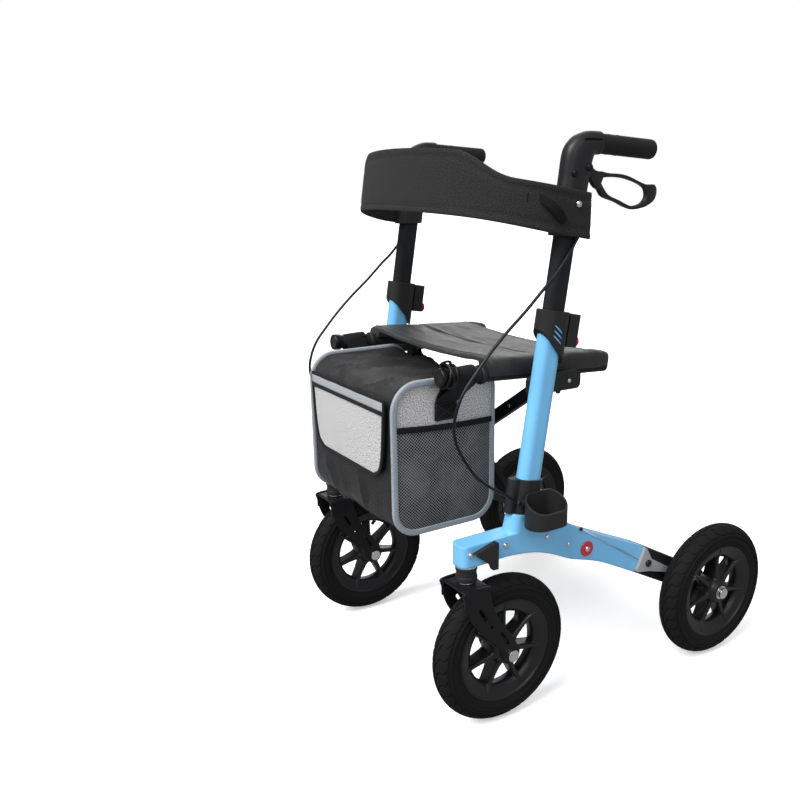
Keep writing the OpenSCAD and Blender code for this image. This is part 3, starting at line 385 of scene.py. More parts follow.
def merge_into(target, *others):
    """Joins meshes into the first object's mesh."""
    bm = bmesh.new()
    for obj in (target, *others):
        bm.from_mesh(obj.data)
    bm.to_mesh(target.data)
    bm.free()
    for obj in others:
        discard(obj)


def cut(obj, tools):
    """Cuts tools out of an object and removes them."""
    for tool in tools:
        mod = obj.modifiers.new("cut", "BOOLEAN")
        mod.object = tool
        mod.solver = "EXACT"
    keep_result(obj)
    for tool in tools:
        discard(tool)
    return obj


def shade_by_angle(obj, angle=35.0):
    """Smooth shading that keeps sharp edges."""
    mesh = obj.data
    smooth_all(mesh)
    bm = bmesh.new()
    bm.from_mesh(mesh)
    limit = math.radians(angle)
    for e in bm.edges:
        e.smooth = len(e.link_faces) == 2 and e.calc_face_angle(0.0) < limit
    bm.to_mesh(mesh)
    bm.free()


def unwrap(obj, rule):
    """Writes a UV map in metres from each corner's place."""
    layer = obj.data.uv_layers.new(name="cloth")
    for loop in obj.data.loops:
        layer.data[loop.index].uv = rule(obj.data.vertices[loop.vertex_index].co)


def along_side(co):
    """Cloth coordinates of a piece that faces sideways."""
    return co.y, co.z


def along_front(co):
    """Cloth coordinates of a piece that faces forward."""
    return co.x, co.z


def dress(obj, body, material, slot, *nodes):
    """Gives a finished piece its material and its body, and hides the solids that it stands for. Its slot is
    not used.
    """
    obj.data.materials.clear()
    obj.data.materials.append(material)
    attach(obj, body)
    if nodes:
        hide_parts(*nodes)
    return obj


# Geometry node trees

STITCH_SHARE = 0.62
THREAD_SIDES = 6
THREAD_R = 0.42 * MM


def tree_sockets(tree, inputs):
    """Gives a tree its sockets, and returns its input and output nodes."""
    tree.interface.new_socket("Geometry", in_out="INPUT", socket_type="NodeSocketGeometry")
    for name, kind in inputs:
        tree.interface.new_socket(name, in_out="INPUT", socket_type=kind)
    tree.interface.new_socket("Geometry", in_out="OUTPUT", socket_type="NodeSocketGeometry")
    return tree.nodes.new("NodeGroupInput"), tree.nodes.new("NodeGroupOutput")


def repeat_tree():
    """Repeats a piece, drawn about the origin, round an axle along X."""
    name = "Repeat round axle"
    if name in bpy.data.node_groups:
        return bpy.data.node_groups[name]
    tree = bpy.data.node_groups.new(name, "GeometryNodeTree")
    start, end = tree_sockets(tree, (("Count", "NodeSocketInt"), ("Centre", "NodeSocketVector"),
                                     ("Material", "NodeSocketMaterial")))
    new, link = tree.nodes.new, tree.links.new
    points = new("GeometryNodePoints")
    index = new("GeometryNodeInputIndex")
    share = new("ShaderNodeMath")
    share.operation = "DIVIDE"
    turn = new("ShaderNodeMath")
    turn.operation = "MULTIPLY"
    turn.inputs[1].default_value = 2 * math.pi
    euler = new("ShaderNodeCombineXYZ")
    spin = new("FunctionNodeEulerToRotation")
    place = new("GeometryNodeInstanceOnPoints")
    real = new("GeometryNodeRealizeInstances")
    paint = new("GeometryNodeSetMaterial")
    link(start.outputs["Count"], points.inputs["Count"])
    link(start.outputs["Centre"], points.inputs["Position"])
    link(index.outputs[0], share.inputs[0])
    link(start.outputs["Count"], share.inputs[1])
    link(share.outputs[0], turn.inputs[0])
    link(turn.outputs[0], euler.inputs["X"])
    link(euler.outputs[0], spin.inputs[0])
    link(points.outputs[0], place.inputs["Points"])
    link(start.outputs["Geometry"], place.inputs["Instance"])
    link(spin.outputs[0], place.inputs["Rotation"])
    link(place.outputs[0], real.inputs[0])
    link(real.outputs[0], paint.inputs["Geometry"])
    link(start.outputs["Material"], paint.inputs["Material"])
    link(paint.outputs[0], end.inputs[0])
    return tree


def stitch_tree():
    """Lays short thread stitches along the edges of a path."""
    name = "Stitches along path"
    if name in bpy.data.node_groups:
        return bpy.data.node_groups[name]
    tree = bpy.data.node_groups.new(name, "GeometryNodeTree")
    start, end = tree_sockets(tree, (("Pitch", "NodeSocketFloat"), ("Thread", "NodeSocketFloat"),
                                     ("Material", "NodeSocketMaterial")))
    new, link = tree.nodes.new, tree.links.new
    curve = new("GeometryNodeMeshToCurve")
    even = new("GeometryNodeResampleCurve")
    even.mode = "LENGTH"
    tangent = new("GeometryNodeInputTangent")
    align = new("FunctionNodeAlignRotationToVector")
    align.axis = "Z"
    length = new("ShaderNodeMath")
    length.operation = "MULTIPLY"
    length.inputs[1].default_value = STITCH_SHARE
    thread = new("GeometryNodeMeshCylinder")
    thread.inputs["Vertices"].default_value = THREAD_SIDES
    place = new("GeometryNodeInstanceOnPoints")
    real = new("GeometryNodeRealizeInstances")
    paint = new("GeometryNodeSetMaterial")
    link(start.outputs["Geometry"], curve.inputs[0])
    link(curve.outputs[0], even.inputs["Curve"])
    link(start.outputs["Pitch"], even.inputs["Length"])
    link(start.outputs["Pitch"], length.inputs[0])
    link(length.outputs[0], thread.inputs["Depth"])
    link(start.outputs["Thread"], thread.inputs["Radius"])
    link(tangent.outputs[0], align.inputs["Vector"])
    link(even.outputs[0], place.inputs["Points"])
    link(thread.outputs["Mesh"], place.inputs["Instance"])
    link(align.outputs[0], place.inputs["Rotation"])
    link(place.outputs[0], real.inputs[0])
    link(real.outputs[0], paint.inputs["Geometry"])
    link(start.outputs["Material"], paint.inputs["Material"])
    link(paint.outputs[0], end.inputs[0])
    return tree


def grow(obj, tree, values):
    """Runs a tree on an object and keeps the result as a plain mesh."""
    mod = obj.modifiers.new(tree.name, "NODES")
    mod.node_group = tree
    for item in tree.interface.items_tree:
        if item.in_out == "INPUT" and item.name in values:
            mod[item.identifier] = values[item.name]
    obj.update_tag()
    return keep_result(obj)


def stitches(name, path, material, closed=False):
    """A row of stitches along a path."""
    n = len(path)
    mesh = bpy.data.meshes.new(name)
    edges = [(i, (i + 1) % n) for i in range(n if closed else n - 1)]
    mesh.from_pydata([tuple(p) for p in path], edges, [])
    obj = put_in_scene(name, mesh)
    grow(obj, stitch_tree(), {"Pitch": sizes().stitch_pitch, "Thread": THREAD_R, "Material": material})
    smooth_all(obj.data)
    return obj


# Shader node groups and materials

PALE_FROM = 0.1
PALE_SPECULAR, DARK_SPECULAR = 0.5, 0.06
NET_PITCH = 5.2 * MM


def shader_group(name, inputs, outputs):
    """New shader group with its sockets; an input without a value is a vector."""
    tree = bpy.data.node_groups.new(name, "ShaderNodeTree")
    for label, value in inputs:
        kind = "NodeSocketVector" if value is None else "NodeSocketFloat"
        socket = tree.interface.new_socket(label, in_out="INPUT", socket_type=kind)
        if value is not None:
            socket.default_value = value
    for label, kind in outputs:
        tree.interface.new_socket(label, in_out="OUTPUT", socket_type=kind)
    return tree, tree.nodes.new("NodeGroupInput"), tree.nodes.new("NodeGroupOutput")


def ramp(tree, source, low, high, to_low=0.0, to_high=1.0):
    """Maps a value from one range to another."""
    node = tree.nodes.new("ShaderNodeMapRange")
    node.inputs["From Min"].default_value = low
    node.inputs["From Max"].default_value = high
    node.inputs["To Min"].default_value = to_low
    node.inputs["To Max"].default_value = to_high
    tree.links.new(source, node.inputs["Value"])
    return node


def arith(tree, operation, a, b=None):
    """Result of a sum on sockets or plain numbers."""
    node = tree.nodes.new("ShaderNodeMath")
    node.operation = operation
    for socket, value in zip(node.inputs, (a, b)):
        if value is None:
            continue
        if isinstance(value, (int, float)):
            socket.default_value = value
        else:
            tree.links.new(value, socket)
    return node.outputs[0]


def grain_group():
    """Fine moulded grain with a slow drift in gloss."""
    name = "Moulded grain"
    if name in bpy.data.node_groups:
        return bpy.data.node_groups[name]
    tree, start, end = shader_group(
        name, (("Scale", 900.0), ("Rough Low", 0.4), ("Rough High", 0.6)),
        (("Height", "NodeSocketFloat"), ("Roughness", "NodeSocketFloat"), ("Drift", "NodeSocketFloat")))
    place = tree.nodes.new("ShaderNodeTexCoord")
    fine = tree.nodes.new("ShaderNodeTexNoise")
    fine.inputs["Detail"].default_value = 3.0
    slow = tree.nodes.new("ShaderNodeTexNoise")
    slow.inputs["Scale"].default_value = 14.0
    slow.inputs["Detail"].default_value = 4.0
    for node in (fine, slow):
        tree.links.new(place.outputs["Object"], node.inputs["Vector"])
    tree.links.new(start.outputs["Scale"], fine.inputs["Scale"])
    mix = tree.nodes.new("ShaderNodeMapRange")
    mix.inputs["From Min"].default_value = 0.3
    mix.inputs["From Max"].default_value = 0.7
    tree.links.new(slow.outputs["Fac"], mix.inputs["Value"])
    tree.links.new(start.outputs["Rough Low"], mix.inputs["To Min"])
    tree.links.new(start.outputs["Rough High"], mix.inputs["To Max"])
    tree.links.new(fine.outputs["Fac"], end.inputs["Height"])
    tree.links.new(mix.outputs["Result"], end.inputs["Roughness"])
    tree.links.new(slow.outputs["Fac"], end.inputs["Drift"])
    return tree


def edge_group():
    """Rounded edges, and a mask of where they are rubbed."""
    name = "Edge wear"
    if name in bpy.data.node_groups:
        return bpy.data.node_groups[name]
    tree, start, end = shader_group(
        name, (("Radius", 0.002), ("Amount", 0.5)),
        (("Normal", "NodeSocketVector"), ("Mask", "NodeSocketFloat")))
    soft = tree.nodes.new("ShaderNodeBevel")
    soft.samples = 6
    flat = tree.nodes.new("ShaderNodeNewGeometry")
    dot = tree.nodes.new("ShaderNodeVectorMath")
    dot.operation = "DOT_PRODUCT"
    place = tree.nodes.new("ShaderNodeTexCoord")
    patch = tree.nodes.new("ShaderNodeTexNoise")
    patch.inputs["Scale"].default_value = 60.0
    patch.inputs["Detail"].default_value = 5.0
    link = tree.links.new
    link(start.outputs["Radius"], soft.inputs["Radius"])
    link(soft.outputs[0], dot.inputs[0])
    link(flat.outputs["Normal"], dot.inputs[1])
    link(place.outputs["Object"], patch.inputs["Vector"])
    edge = ramp(tree, dot.outputs["Value"], 0.99, 0.80)
    broken = ramp(tree, patch.outputs["Fac"], 0.45, 0.7)
    both = arith(tree, "MULTIPLY", edge.outputs[0], broken.outputs[0])
    link(arith(tree, "MULTIPLY", both, start.outputs["Amount"]), end.inputs["Mask"])
    link(soft.outputs[0], end.inputs["Normal"])
    return tree


def weave_group():
    """Crossing threads on the cloth's own coordinates."""
    name = "Woven threads"
    if name in bpy.data.node_groups:
        return bpy.data.node_groups[name]
    tree, start, end = shader_group(
        name, (("Vector", None), ("Threads", 900.0)),
        (("Height", "NodeSocketFloat"), ("Tone", "NodeSocketFloat")))
    link = tree.links.new
    split = tree.nodes.new("ShaderNodeSeparateXYZ")
    link(start.outputs["Vector"], split.inputs[0])
    waves = []
    for axis in ("X", "Y"):
        phase = arith(tree, "MULTIPLY", split.outputs[axis], start.outputs["Threads"])
        waves.append(arith(tree, "SINE", arith(tree, "MULTIPLY", phase, 2 * math.pi)))
    over = arith(tree, "MULTIPLY", waves[0], waves[1])
    link(ramp(tree, over, -1.0, 1.0).outputs[0], end.inputs["Height"])
    slub = tree.nodes.new("ShaderNodeTexNoise")
    slub.inputs["Scale"].default_value = 520.0
    slub.inputs["Detail"].default_value = 3.0
    link(start.outputs["Vector"], slub.inputs["Vector"])
    link(slub.outputs["Fac"], end.inputs["Tone"])
    return tree


def crease_group():
    """Pores and fine wrinkles of coated cloth."""
    name = "Leather pores"
    if name in bpy.data.node_groups:
        return bpy.data.node_groups[name]
    tree, start, end = shader_group(
        name, (("Scale", 420.0),), (("Height", "NodeSocketFloat"), ("Sheen", "NodeSocketFloat")))
    link = tree.links.new
    place = tree.nodes.new("ShaderNodeTexCoord")
    cells = tree.nodes.new("ShaderNodeTexVoronoi")
    cells.feature = "DISTANCE_TO_EDGE"
    folds = tree.nodes.new("ShaderNodeTexNoise")
    folds.inputs["Scale"].default_value = 22.0
    folds.inputs["Detail"].default_value = 6.0
    folds.inputs["Distortion"].default_value = 0.8
    link(place.outputs["Object"], cells.inputs["Vector"])
    link(place.outputs["Object"], folds.inputs["Vector"])
    link(start.outputs["Scale"], cells.inputs["Scale"])
    pore = ramp(tree, cells.outputs["Distance"], 0.0, 0.25)
    both = arith(tree, "ADD", arith(tree, "MULTIPLY", pore.outputs[0], 0.25), folds.outputs["Fac"])
    link(both, end.inputs["Height"])
    link(folds.outputs["Fac"], end.inputs["Sheen"])
    return tree


def principled(name, colour, rough, metallic=0.0, **more):
    """A material with constant values on the shader's own sockets."""
    if name in bpy.data.materials:
        return bpy.data.materials[name], None, None
    mat = bpy.data.materials.new(name)
    mat.use_nodes = True
    tree = mat.node_tree
    shader = tree.nodes["Principled BSDF"]
    shader.inputs["Base Color"].default_value = (*colour, 1.0)
    shader.inputs["Roughness"].default_value = rough
    shader.inputs["Metallic"].default_value = metallic
    gloss = PALE_SPECULAR if max(colour) > PALE_FROM else DARK_SPECULAR
    shader.inputs["Specular IOR Level"].default_value = gloss
    for label, value in more.items():
        shader.inputs[label.replace("_", " ")].default_value = value
    mat.diffuse_color = (*colour, 1.0)
    return mat, tree, shader


def put(tree, group, **values):
    """Adds a node group with values on its sockets."""
    node = tree.nodes.new("ShaderNodeGroup")
    node.node_tree = group
    for label, value in values.items():
        node.inputs[label.replace("_", " ")].default_value = value
    return node


def tint(tree, shader, factor, low, high):
    """Base colour from low to high by a factor."""
    mix = tree.nodes.new("ShaderNodeMix")
    mix.data_type = "RGBA"
    mix.inputs["A"].default_value = (*low, 1.0)
    mix.inputs["B"].default_value = (*high, 1.0)
    tree.links.new(factor, mix.inputs["Factor"])
    tree.links.new(mix.outputs["Result"], shader.inputs["Base Color"])
    return mix


def bump(tree, shader, height, strength, distance, normal=None):
    """Relief from a height, over a normal if one is given."""
    node = tree.nodes.new("ShaderNodeBump")
    node.inputs["Strength"].default_value = strength
    node.inputs["Distance"].default_value = distance
    tree.links.new(height, node.inputs["Height"])
    if normal is not None:
        tree.links.new(normal, node.inputs["Normal"])
    tree.links.new(node.outputs[0], shader.inputs["Normal"])


def shade(colour, factor):
    """A colour made lighter or darker."""
    return tuple(min(1.0, c * factor) for c in colour)


def moulded(name, colour, rough, grain=900.0, depth=0.00008, edge=0.0016, wear=0.35, worn=2.6,
            metallic=0.0, **more):
    """Moulded, cast or coated surface: grain, drifting gloss, rounded and rubbed edges."""
    low, high = rough
    mat, tree, shader = principled(name, colour, (low + high) / 2, metallic, **more)
    if tree is None:
        return mat
    fine = put(tree, grain_group(), Scale=grain, Rough_Low=low, Rough_High=high)
    rubbed = put(tree, edge_group(), Radius=edge, Amount=wear)
    drift = tint(tree, shader, fine.outputs["Drift"], shade(colour, 0.9), shade(colour, 1.1))
    rub = tree.nodes.new("ShaderNodeMix")
    rub.data_type = "RGBA"
    rub.inputs["B"].default_value = (*shade(colour, worn), 1.0)
    tree.links.new(rubbed.outputs["Mask"], rub.inputs["Factor"])
    tree.links.new(drift.outputs["Result"], rub.inputs["A"])
    tree.links.new(rub.outputs["Result"], shader.inputs["Base Color"])
    tree.links.new(fine.outputs["Roughness"], shader.inputs["Roughness"])
    bump(tree, shader, fine.outputs["Height"], 0.5, depth, rubbed.outputs["Normal"])
    return mat


def blue_coat():
    return moulded("frame_blue", tuple(colours().frame_blue), rough=(0.30, 0.42), grain=1400.0, depth=0.00005,
                   edge=0.0045, wear=0.25, worn=1.35, Coat_Weight=0.25, Coat_Roughness=0.2)


# Uprights: the frame's powder coat painted 8 % lighter, as painted light; the gloss and grain are the tubes'
# own finish.
def lit_blue_tube():
    return moulded("upright_blue", shade(tuple(colours().frame_blue), 1.08), rough=(0.28, 0.38), grain=2200.0,
                   depth=0.00002, edge=0.001, wear=0.15, worn=1.3, Coat_Weight=0.2, Coat_Roughness=0.2)


def black_plastic():
    return moulded("moulded_black", tuple(colours().black), rough=(0.42, 0.58), Specular_IOR_Level=0.35)


def soft_black():
    return moulded("handle_black", (0.0096, 0.0096, 0.0112), rough=(0.36, 0.5), grain=1100.0, depth=0.00006,
                   edge=0.003, wear=0.2, Specular_IOR_Level=0.4)


def cable_black():
    return moulded("cable_black", (0.004, 0.004, 0.004), rough=(0.28, 0.36), depth=0.00002, edge=0.002,
                   wear=0.1, Specular_IOR_Level=0.3)


def seam_black():
    return moulded("seam_black", (0.003, 0.003, 0.003), rough=(0.6, 0.7), depth=0.00003, edge=0.0005,
                   wear=0.0)


def dark_tube():
    return moulded("anthracite_tube", (0.024, 0.025, 0.027), rough=(0.42, 0.52), grain=2400.0, depth=0.00002,
                   edge=0.001, wear=0.2, worn=2.0, metallic=0.2)


def black_steel():
    return moulded("coated_steel", (0.007, 0.007, 0.008), rough=(0.34, 0.46), grain=1500.0, depth=0.00004,
                   edge=0.0018, wear=0.3, worn=3.0, Specular_IOR_Level=0.2)


def rim_black():
    return moulded("rim_black", (0.009, 0.009, 0.010), rough=(0.26, 0.38), grain=800.0, depth=0.00003,
                   edge=0.002, wear=0.2, worn=2.2, Coat_Weight=0.1, Coat_Roughness=0.15,
                   Specular_IOR_Level=0.3)


def bright_steel():
    return moulded("zinc_steel", (0.72, 0.73, 0.75), rough=(0.14, 0.26), grain=2600.0, depth=0.00002,
                   edge=0.0008, wear=0.2, worn=1.1, metallic=1.0)


def grey_steel():
    return moulded("cast_grey", (0.42, 0.43, 0.44), rough=(0.36, 0.48), grain=1500.0, depth=0.00004,
                   edge=0.0012, wear=0.4, worn=1.4, metallic=0.2)


def red_gloss():
    return moulded("red_gloss", tuple(colours().accent), rough=(0.2, 0.3), grain=700.0, depth=0.00002,
                   edge=0.0012, wear=0.2, worn=1.5, Coat_Weight=0.4, Coat_Roughness=0.1)


def grip_rubber():
    return moulded("grip_foam", (0.012, 0.012, 0.0125), rough=(0.55, 0.7), grain=1300.0, depth=0.00022,
                   edge=0.001, wear=0.15, worn=2.0, Specular_IOR_Level=0.2)


def tyre_rubber():
    return moulded("tyre_rubber", tuple(colours().rubber), rough=(0.62, 0.8), grain=700.0, depth=0.00016,
                   edge=0.0008, wear=0.5, worn=1.9)


def sewing_thread(name, colour):
    """Sewing thread of a colour."""
    return moulded(name, colour, rough=(0.6, 0.8), grain=3000.0, depth=0.00003, edge=0.0002, wear=0.1)


def thread_black():
    return sewing_thread("thread_black", (0.05, 0.05, 0.052))


def thread_grey():
    return sewing_thread("thread_grey", (0.20, 0.21, 0.23))


def cloth(name, low, high, threads, depth, rough, sheen, contrast=(0.35, 0.65), **more):
    """Woven cloth on its own coordinates."""
    mat, tree, shader = principled(name, shade(low, 0.5 + 0.5 * (high[0] / max(low[0], 1e-4))), rough,
                                   Sheen_Weight=sheen, Sheen_Roughness=0.5, **more)
    if tree is None:
        return mat
    place = tree.nodes.new("ShaderNodeUVMap")
    place.uv_map = "cloth"
    weave = put(tree, weave_group(), Threads=threads)
    tree.links.new(place.outputs[0], weave.inputs["Vector"])
    tone = ramp(tree, weave.outputs["Tone"], *contrast)
    fold = put(tree, crease_group(), Scale=600.0)
    tint(tree, shader, tone.outputs[0], low, high)
    height = arith(tree, "ADD", weave.outputs["Height"], arith(tree, "MULTIPLY", fold.outputs["Height"], 2.0))
    gloss = ramp(tree, fold.outputs["Sheen"], 0.3, 0.7, rough - 0.07, rough + 0.07)
    tree.links.new(gloss.outputs[0], shader.inputs["Roughness"])
    bump(tree, shader, height, 0.6, depth)
    return mat


def melange():
    c = tuple(colours().melange)
    return cloth("melange", shade(c, 0.36), shade(c, 1.06), threads=420.0, depth=0.0005, rough=0.85,
                 sheen=0.1, contrast=(0.40, 0.53))


def nylon():
    return cloth("black_nylon", (0.006, 0.006, 0.0065), (0.008, 0.008, 0.009), threads=1500.0, depth=0.0003,
                 rough=0.38, sheen=0.02, Specular_IOR_Level=0.42)


def webbing():
    return cloth("black_webbing", (0.008, 0.008, 0.008), (0.015, 0.015, 0.016), threads=700.0, depth=0.0006,
                 rough=0.7, sheen=0.05)


def binding():
    c = tuple(colours().tape)
    return cloth("silver_binding", shade(c, 0.75), shade(c, 1.15), threads=900.0, depth=0.0003, rough=0.55,
                 sheen=0.2)


def reflective():
    return cloth("reflective_tape", (0.40, 0.43, 0.46), (0.56, 0.59, 0.62), threads=1300.0, depth=0.0002,
                 rough=0.32, sheen=0.1, Metallic=0.25)


def band_cloth():
    return cloth("band_weave", (0.018, 0.018, 0.0185), (0.037, 0.037, 0.038), threads=1200.0, depth=0.0004,
                 rough=0.75, sheen=0.05)


def seat_leather():
    """Coated cloth of the seat, with pores and fine wrinkles."""
    mat, tree, shader = principled("seat_leather", (0.011, 0.011, 0.011), 0.45, Sheen_Weight=0.05,
                                   Coat_Weight=0.08, Coat_Roughness=0.35, Specular_IOR_Level=0.35)
    if tree is None:
        return mat
    pores = put(tree, crease_group(), Scale=520.0)
    tint(tree, shader, ramp(tree, pores.outputs["Sheen"], 0.3, 0.7).outputs[0], (0.012, 0.012, 0.012),
         (0.028, 0.028, 0.0275))
    gloss = ramp(tree, pores.outputs["Sheen"], 0.3, 0.7, 0.38, 0.55)
    tree.links.new(gloss.outputs[0], shader.inputs["Roughness"])
    bump(tree, shader, pores.outputs["Height"], 0.6, 0.0011)
    return mat


def pocket_mesh():
    """Dark net: light threads round dark diamond holes, on the cloth's own coordinates."""
    mat, tree, shader = principled("pocket_mesh", (0.045, 0.045, 0.048), 0.75, Sheen_Weight=0.15)
    if tree is None:
        return mat
    link = tree.links.new
    place = tree.nodes.new("ShaderNodeUVMap")
    place.uv_map = "cloth"
    split = tree.nodes.new("ShaderNodeSeparateXYZ")
    link(place.outputs[0], split.inputs[0])
    turns = math.pi / NET_PITCH
    sines = []
    for sign in ("ADD", "SUBTRACT"):
        side = arith(tree, sign, split.outputs["X"], split.outputs["Y"])
        sines.append(arith(tree, "ABSOLUTE", arith(tree, "SINE", arith(tree, "MULTIPLY", side, turns))))
    hole = ramp(tree, arith(tree, "MULTIPLY", sines[0], sines[1]), 0.22, 0.38)
    fold = put(tree, crease_group(), Scale=300.0)
    slow = ramp(tree, fold.outputs["Sheen"], 0.35, 0.65, 0.75, 1.1)
    mask = arith(tree, "MULTIPLY", hole.outputs[0], slow.outputs[0])
    tint(tree, shader, mask, (0.22, 0.22, 0.225), (0.003, 0.003, 0.0035))
    bump(tree, shader, arith(tree, "SUBTRACT", 1.0, hole.outputs[0]), 0.7, 0.0008)
    return mat


def floor_white():
    mat, tree, shader = principled("floor", (0.92, 0.92, 0.92), 0.7, Emission_Color=(1.0, 1.0, 1.0, 1.0),
                                   Emission_Strength=0.4)
    if tree is not None:
        grain = put(tree, grain_group(), Scale=40.0, Rough_Low=0.55, Rough_High=0.65)
        tree.links.new(grain.outputs["Roughness"], shader.inputs["Roughness"])
    return mat


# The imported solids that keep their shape

FINISHES = {
    "base_beam": blue_coat, "upright": lit_blue_tube, "foot_sleeve": black_plastic, "collar": black_plastic,
    "lock_button": red_gloss, "bearing_cup": black_plastic, "caster_fork": black_steel,
    "front_axle": bright_steel, "front_tyre": tyre_rubber, "front_rim": rim_black,
    "front_bearings": bright_steel, "rear_arm": black_plastic, "brake_arm": grey_steel,
    "rear_axle": bright_steel, "rear_tyre": tyre_rubber, "rear_rim": rim_black,
    "rear_bearings": bright_steel, "rail_bracket": black_plastic, "kerb_guard": black_plastic,
    "frame_screws": bright_steel, "handle_tube": dark_tube, "handle_housing": soft_black,
    "grip": grip_rubber, "brake_lever": soft_black, "handle_screws": bright_steel,
    "brake_cable": black_plastic, "seat_rail": dark_tube, "cross_bar_a": dark_tube,
    "cross_bar_b": dark_tube, "seat_sling": seat_leather, "backrest": band_cloth, "bag_body": nylon,
    "bag_flap": melange,
}


def paint_solids():
    """Gives each solid that stays in view its finish."""
    for name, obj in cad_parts.items():
        kind = name.rsplit("_", 1)[0] if name.endswith(("_left", "_right")) else name
        obj.data.materials.clear()
        obj.data.materials.append(FINISHES[kind]())


# Wheels

FRAME_X = 0.234
STEM_Y = -0.282
BEAD_SHARE = 0.7
BEAD_WALL = ((0.80, 0), (0.86, 4), (0.88, 8))
BEAD_SEAT_SHARE = 0.55
BEAD_SEAT = 3 * MM
RIB_SHARES = ((0.775, 0.905), (0.86, 0.955))
RIB_WIDE = 1.1 * MM
RIB_HIGH = 1.6 * MM
LUG_STEPS = 9
LUG_ACROSS = 7
LUG_GAP_SHARE = 0.84
LUG_SKEW = math.radians(12)
SPOKE_STATIONS = ((0.0, 7.5, 1.02), (0.15, 5.2, 0.92), (0.4, 4.4, 0.82), (0.65, 4.2, 0.80),
                  (0.82, 3.4, 0.92), (0.93, 1.9, 1.02), (1.0, 0.5, 1.06))
RIM_EDGE = ((1.10, 0), (1.16, 1.2), (1.16, 2.6), (1.08, 4), (1.02, 5), (0.98, 9), (0.90, 14), (0.76, 19),
            (0.56, 23), (0.36, 25))
RIM_WIDTH_SHARE = 0.66
HUB_EDGE = ((1.0, 13), (1.0, 17), (0.93, 20), (0.62, 23), (0.5, 25))
SPOKE_FROM = 21 * MM
SPOKE_SHORT = 6 * MM
VALVE = ((0, 0), (0, 2.9), (9, 2.9), (9.5, 3.6), (19, 3.4), (20, 2.4), (20, 0))
VALVE_TURN = math.radians(64)
VALVE_DEEP = 20 * MM
VALVE_LEAN_SHARE = 0.42
VALVE_OUT_SHARE = 0.4
FORK_BLADE = ((-307, 261), (-307.5, 247), (-302.5, 225), (-291.5, 202), (-269, 174.5), (-246, 152),
              (-236, 135), (-232.6, 124), (-227, 114), (-216, 110), (-204.5, 115), (-199.6, 127),
              (-204, 141.4), (-216.4, 163.4), (-233.4, 186.6), (-246.8, 208.3), (-255.2, 231),
              (-259.5, 250), (-260, 261))
FORK_SLOTS = ((-279, 223.8, -267.8, 204.6, 3.0), (-236.5, 171.4, -222.9, 149.1, 3.0),
              (-256.5, 189, -256, 188, 2.6))
FORK_CROWN = ((-32.5, 232), (-32.5, 246), (-31.2, 253), (-27, 257.4), (-20, 258.5), (20, 258.5),
              (27, 257.4), (31.2, 253), (32.5, 246), (32.5, 232))
FORK_HALF = 32.5 * MM
FORK_PLATE = 5 * MM
FORK_ROUND = 1.1 * MM
SLOT_TOOL = 14 * MM
CROWN_Y = -0.2835
CROWN_WIDE = 0.0475
FORK_WASHER = ((0, 6), (0, 13), (2.6, 13), (3.6, 12), (3.6, 6))
WASHER_Z = 0.261
CASTER_NUT = ((0, 0), (0, 6.2), (-3.6, 6.2), (-5, 4.6), (-5, 0))
NUT_Z = 0.256


def wheel_box(node):
    """Centre, radius and half width of a wheel's solid."""
    low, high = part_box(node)
    return (low + high) / 2, (high.z - low.z) / 2, (high.x - low.x) / 2


def tyre_profile(radius, half, bead):
    """Closed outline of a tyre's casing, as (along, radius) pairs, a tread's height below its outside."""
    crown = radius - half
    r = half - sizes().lug_height
    wall = [(half * share, bead + up * MM) for share, up in BEAD_WALL]
    out = [(-along, up) for along, up in wall]
    for k in range(25):
        a = math.radians(195 - 210 * k / 24)
        out.append((r * math.cos(a), crown + r * math.sin(a)))
    out += reversed(wall)
    out += [(half * BEAD_SEAT_SHARE, bead + BEAD_SEAT), (-half * BEAD_SEAT_SHARE, bead + BEAD_SEAT)]
    return out


def tread_lug(name, radius, half, side):
    """One broad curved lug from the crown to the shoulder, about the origin."""
    crown = radius - half
    reach = LUG_GAP_SHARE * math.pi / sizes().lug_count
    deep = sizes().lug_height
    top = [(-0.97 + 1.94 * k / (LUG_ACROSS - 1), 1.0) for k in range(LUG_ACROSS)]
    profile = [(-1.0, -0.8)] + top + [(1.0, -0.8)]
    rings = []
    for i in range(LUG_STEPS + 1):
        t = i / LUG_STEPS
        a = math.radians(87 - 58 * t)
        turn = LUG_SKEW * (math.sin(0.5 * math.pi * t) + 0.25 * math.sin(2 * math.pi * t))
        width = reach * (1 - 0.10 * t)
        ring = []
        for spread, rise in profile:
            r = half - deep if rise < 0 else half
            r += 0.4 * deep * min(rise, 0.0)
            along = side * r * math.cos(a)
            out = crown + r * math.sin(a)
            b = turn + spread * width
            ring.append(Vector((along, out * math.sin(b), out * math.cos(b))))
        rings.append(ring)
    return loft(name, rings)


def make_tyre(node, body):
    """Casing with its lugs and side ribs, in one piece."""
    c, radius, half = wheel_box(node)
    profile = tyre_profile(radius, half, radius * BEAD_SHARE)
    casing = lathe(node + "_casing", profile, c, segments=120, closed=True)
    count = sizes().lug_count
    parts = []
    for side in (1.0, -1.0):
        lug = tread_lug(f"{node}_lugs_{'out' if side > 0 else 'in'}", radius, half, side)
        if side < 0:
            lug.data.transform(Matrix.Rotation(math.pi / count, 4, "X"))
        parts.append(grow(lug, repeat_tree(), {"Count": count, "Centre": c, "Material": tyre_rubber()}))
    for side in (1.0, -1.0):
        for up_share, out_share in RIB_SHARES:
            ring = [(side * half * out_share + RIB_WIDE * math.cos(a),
                     radius * up_share + RIB_HIGH * math.sin(a)) for a in angles(8)]
            parts.append(lathe(f"{node}_rib", ring, c, segments=120, closed=True))
    merge_into(casing, *parts)
    shade_by_angle(casing, 40.0)
    dress(casing, body, tyre_rubber(), "tyre", node)


